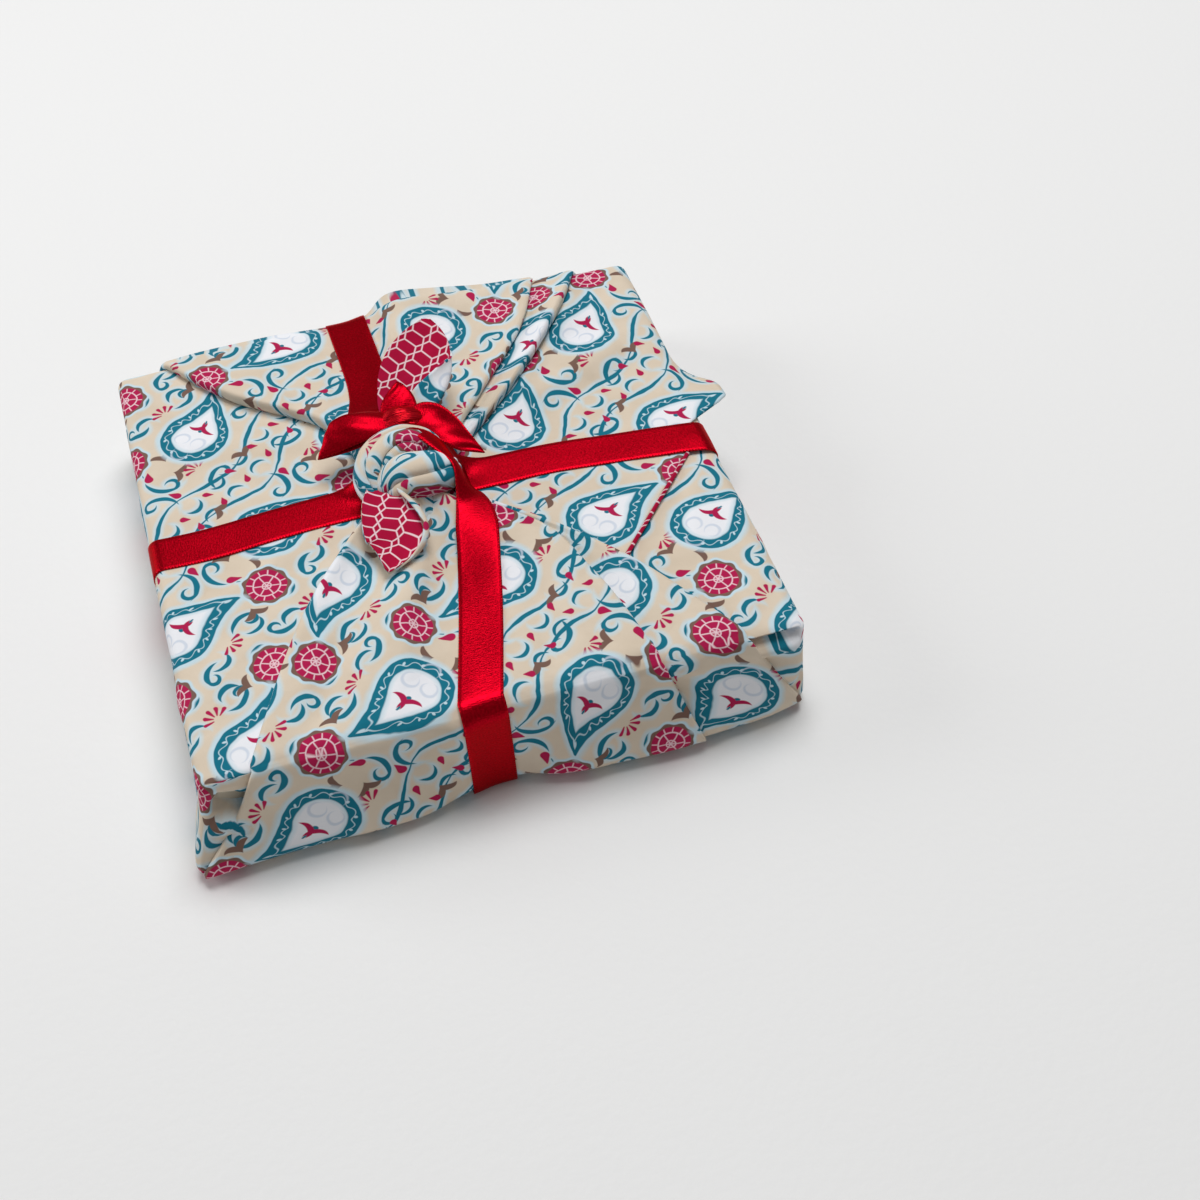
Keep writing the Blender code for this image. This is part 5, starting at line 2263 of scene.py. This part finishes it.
CREASES_BY_SIDE = {
    # start, end, width, height, bow
    Side.FLAP: (
        ((34, 18), (82, 36), 5.0, -1.1, 2.0), ((44, 34), (84, 50), 7.0, 2.0, 1.0),
        ((50, 58), (90, 62), 4.0, -0.9, 2.0), ((-70, 30), (-34, 14), 3.0, -0.7),
        ((-60, -22), (-36, -16), 3.0, -0.6), ((-92, 60), (-40, 40), 3.5, 0.8, -2.0),
        ((-85, -30), (-55, -12), 4.0, 0.7), ((-88, -64), (-66, -44), 4.0, 0.7, 2.0),
        ((-88, 24), (-60, 18), 3.0, 0.5)),
    Side.UNDER_FLAP: (
        ((34, 18), (82, 36), 5.0, -1.1, 2.0), ((92, -12), (74, -60), 5.0, 0.8),
        ((98, -70), (78, -92), 3.0, 1.0), ((80, -30), (66, -52), 3.0, -0.6)),
    Side.FRONT_WING: (
        ((30, -95), (24, -50), 5.0, 1.0), ((16, -90), (20, -44), 3.0, -0.9, -2.0),
        ((-48, -96), (-30, -45), 3.5, 1.3, 2.0), ((-60, -92), (-42, -52), 3.0, -1.0, 1.0),
        ((-70, -94), (-50, -56), 2.6, 0.8, 1.0), ((-8, -90), (-6, -52), 3.0, 0.9),
        ((34, -92), (36, -60), 3.0, -0.9), ((62, -93), (52, -66), 3.0, 0.9),
        ((52, -90), (47, -62), 2.6, -0.8)),
    Side.FRONT_FACE: (
        ((-18, 38), (-20, 6), 2.6, 1.9, 1.5), ((-30, 38), (-34, 8), 5.0, -1.2),
        ((-60, 34), (-52, 6), 4.0, 1.0), ((30, 36), (22, 4), 6.0, 1.1),
        ((44, 38), (40, 12), 3.0, -1.0), ((60, 30), (66, 6), 3.5, 1.2),
        ((52, 37), (63, 30), 2.4, 2.2, 1.0), ((56, 33), (62, 22), 2.6, -2.0)),
    Side.FRONT_CORNER: (
        ((70, 38.6), (97, 38.4), 1.1, 1.6), ((72, 36.4), (97, 35.6), 1.5, -6.2),
        ((76, 32.4), (97, 31.4), 2.4, 3.0), ((84, 22), (97, 16), 4.0, 1.6),
        ((-96, 30.5), (-82, 24.5), 2.6, -8.0), ((-97, 23), (-86, 17), 4.0, 3.4),
        ((-98, 10), (-90, 6), 5.0, 3.0)),
    Side.LEFT_WALL: (
        ((-60, 36), (-66, 4), 5.0, 0.9), ((-88, 30), (-80, 6), 4.0, -0.8),
        ((30, 34), (24, 6), 6.0, 0.7)),
    Side.RIGHT_WALL: (
        ((-60, 34), (-50, 6), 5.0, 0.8), ((50, 30), (58, 6), 6.0, 0.7)),
    Side.BACK_WING: (
        ((-30, 92), (-26, 52), 4.0, 0.9), ((-62, 92), (-40, 60), 3.5, 0.9, 1.0),
        ((52, 92), (36, 60), 4.0, -1.0), ((30, 92), (22, 62), 3.5, 0.8)),
    Side.BACK_FACE: (
        ((30, 34), (40, 6), 5.0, 1.0), ((-50, 34), (-44, 6), 5.0, 1.0)),
}
CREASES = Creases(tuple(Crease(side, *line) for side, lines in CREASES_BY_SIDE.items() for line in lines))

KNOT = Knot(strands=(
    # x, y, z, half width, half height
    Strand("heart", ((-10, 19, 44.5, 6, 3), (-9, 13, 47.5, 9.5, 5), (-9, 5, 49, 10.5, 7),
                     (-9, -5, 48, 10, 6), (-7, -12, 44.5, 8, 3.5), (-5, -18, 41, 7, 2.4)),
           pleats=8, phase=0.4, flat_at=(10.0, -290.0)),
    Strand("wrap", ((4, 4, 49, 3, 3), (0.5, 8.5, 53.5, 5.4, 4.0), (-5, 10.4, 55.6, 6.4, 4.2),
                    (-11, 10.0, 55.8, 6.6, 4.2), (-17, 7.0, 54.0, 6.4, 4.2), (-20.6, 2.2, 51.2, 5.6, 4.2),
                    (-21.2, -3, 48.6, 4.2, 3.4), (-19.6, -7, 47.4, 2.6, 2.4)),
           pleats=6, phase=2.0, flat_at=(-41.0, -262.0)),
    Strand("lobe", ((7.5, 1.5, 48, 3, 3), (3, -2.4, 50.4, 7.2, 6.4), (-3.4, -3.8, 51.8, 8.6, 7.4),
                    (-10, -3, 51.4, 8.6, 7), (-15.4, -2.8, 49.6, 6.6, 5.4), (-19.4, -3.4, 48, 3.2, 3.2)),
           pleats=4, pleat_depth=0.2, phase=1.3, twist=0.5, flat_at=(13.0, -300.0)),
))

FRONT_TAIL = Tail("front_tail_lining", "lining_front_tail", (
    # x, y, z, half width, roll of the left rim and of the right one seen from the root, lap
    (-18.6, -2.0, 49.6, 3.4, 60, 10, 0.0), (-19.2, -6.5, 50.2, 5.6, 120, 15, 0.0),
    (-19.4, -11.5, 50.2, 7.8, 190, 20, 0.0), (-18.9, -17.0, 49.7, 9.8, 200, 25, 0.0),
    (-18.3, -22.5, 49.0, 10.9, 205, 20, 0.0), (-18.2, -27.5, 48.0, 10.6, 190, 12, 0.0),
    (-19.6, -32.0, 47.2, 8.4, 150, 8, 0.0), (-22.0, -36.2, 46.6, 4.8, 70, 5, 0.0),
    (-24.4, -39.4, 46.2, 1.2, 0, 0, 0.0)))

BACK_TAIL = Tail("back_tail_lining", "lining_back_tail", (
    (-7.5, 18.0, 47.6, 4.0, 0, 40, 0.0), (-5.0, 25.0, 49.4, 6.5, 0, 120, 3.0),
    (-1.6, 31.0, 51.8, 10.4, 5, 180, 10.0), (2.3, 36.6, 54.6, 12.8, 10, 180, 9.6),
    (6.4, 43.6, 58.0, 13.2, 10, 150, 4.0), (10.2, 50.2, 61.2, 11.0, 8, 30, 0.0),
    (12.8, 55.4, 63.6, 7.0, 5, 10, 0.0), (14.6, 59.6, 65.4, 1.6, 0, 0, 0.0)),
    roll=1.3, cup=0.5, flat_at=(9.0, 318.0))

BAND_Y = Band("front to back", True, (
    # y and x of the middle, then where they aren't the usual ones the width and the least height
    (-97.5, -8.8), (-64, 0.2), (-40, 6.0), (-30, 8.3), (-20, 9.8, 12.5), (-12, 10.2, 8.5),
    (-6, 9.4, 6.0), (-1, 8.0, 9.0), (5, 5.6, 12.5), (11, 2.6, 13.0), (17, -1.6, 11.0, 54.0),
    (25, -9.0, 9.0, 53.0), (32, -15.0, 10.0, 50.6), (40, -15.0, 12.5), (52, -11.5), (67, -10.5),
    (97.5, -11.0)))
BAND_X = Band("left to right", False, (
    # x and y of the middle
    (-98, 1.5), (-83, 0.7), (-60, 2.0), (-36, 3.0), (13, 2.5), (42, 1.5), (65, -1.5), (85, -4.0),
    (98, -6.0)), clear=0.25)

BOW = (
    # x, y, z of one edge and of the other, crown
    Strip("left loop", (
        (-7.0, 24.6, 56.4, -8.4, 18.0, 57.4, 0.8), (-14.0, 27.4, 57.6, -14.6, 17.2, 55.6, 1.2),
        (-22.4, 28.4, 58.2, -21.4, 16.8, 54.0, 1.4), (-27.4, 28.0, 57.4, -29.6, 17.4, 51.6, 1.0),
        (-29.6, 27.4, 56.0, -36.0, 18.4, 50.0, 0.4), (-28.0, 27.0, 54.4, -34.0, 18.4, 49.4, -0.4),
        (-20.0, 26.0, 53.6, -22.0, 18.0, 50.8, -0.8), (-9.0, 24.0, 54.0, -10.0, 19.0, 53.6, 0.0))),
    Strip("right tail", (
        (-3.6, 24.6, 56.6, -4.6, 17.0, 57.6, 0.8), (3.6, 25.2, 58.4, 0.2, 13.6, 57.2, 1.2),
        (9.4, 21.8, 58.6, 4.0, 9.8, 55.4, 1.4), (13.6, 15.0, 57.2, 7.4, 7.2, 53.4, 0.8),
        (16.2, 8.6, 55.0, 10.6, 5.0, 51.4, 0.2), (18.2, 4.6, 52.4, 15.0, 3.0, 50.6, 0.0),
        (19.7, 1.5, 50.2, 19.3, 1.6, 50.1, 0.0))),
    Strip("point loop", (
        (2.0, 23.0, 55.8, -12.0, 24.6, 55.6, 0.6), (1.8, 28.4, 58.6, -9.8, 29.6, 58.4, 0.8),
        (0.2, 32.6, 60.2, -6.0, 33.2, 60.2, 0.4), (-2.0, 36.0, 60.6, -2.8, 36.0, 60.6, 0.0),
        (0.2, 33.0, 59.4, -6.0, 33.4, 59.4, -0.4), (1.0, 24.0, 54.8, -10.0, 25.0, 54.6, -0.4))),
)
BOW_KNOT = Strand("bow knot", ((-12.4, 19.6, 54.6, 1.8, 1.6), (-9.6, 20.8, 56.0, 4.4, 2.6),
                               (-6.4, 21.4, 57.0, 5.4, 3.2), (-3.0, 21.2, 57.0, 5.2, 3.0),
                               (0.0, 20.4, 56.2, 4.4, 2.4), (2.6, 19.4, 55.0, 1.8, 1.4)),
                  pleats=6, pleat_depth=0.3, phase=0.8, twist=1.4, around=48, steps=8)


def main() -> None:
    """Builds, dresses and logs every piece of the parcel, then sets up the studio."""
    logging.basicConfig(level=logging.INFO, format="%(message)s")
    cad_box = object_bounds()
    parcel = Parcel.round_box(clearance=3.2, above=2.9)
    flaps = Flaps(parcel, CREASES)
    cloth = Furoshiki(
        parcel, CREASES,
        front=Wing(-1, FRONT_STATIONS, FRONT_FOLDS, FRONT_TUCK),
        back=Wing(1, BACK_STATIONS, BACK_FOLDS, BACK_TUCK),
        flaps=flaps)
    wrap = cloth.build(KNOT, (FRONT_TAIL, BACK_TAIL))
    linings = [Piping(flaps, cloth.hem_width).build(), FRONT_TAIL.lining(), BACK_TAIL.lining()]
    ribbon = Ribbon((BAND_X, BAND_Y), BOW, BOW_KNOT)
    ribbons = ribbon.build(cloth, linings[0])
    dress([wrap], PrintedCloth().make())
    dress(linings, LatticeCloth().make())
    dress(ribbons, Satin().make())
    dress([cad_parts["gift_box"]], Card().make())
    side = cloth.side_length * MM
    tuple(size * MM for size in ribbon.cut)
    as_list(ribbons[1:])
    bpy.context.view_layer.update()
    for piece in (wrap, *linings, *ribbons):
        report(piece)
    for whole, parts in (("front wing", FRONT_FOLDS), ("back wing", BACK_FOLDS),
                         ("knot", KNOT.strands), ("ribbon", (*ribbon.bands, *ribbon.strips))):
        log.info("%s: %s", whole, ", ".join(part.name for part in parts))
    Studio().build()
    boxes = {"cad": cad_box, "visual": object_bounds()}
    {key: [list(corner) for corner in box] for key, box in boxes.items()}


if __name__ == "__main__":
    main()
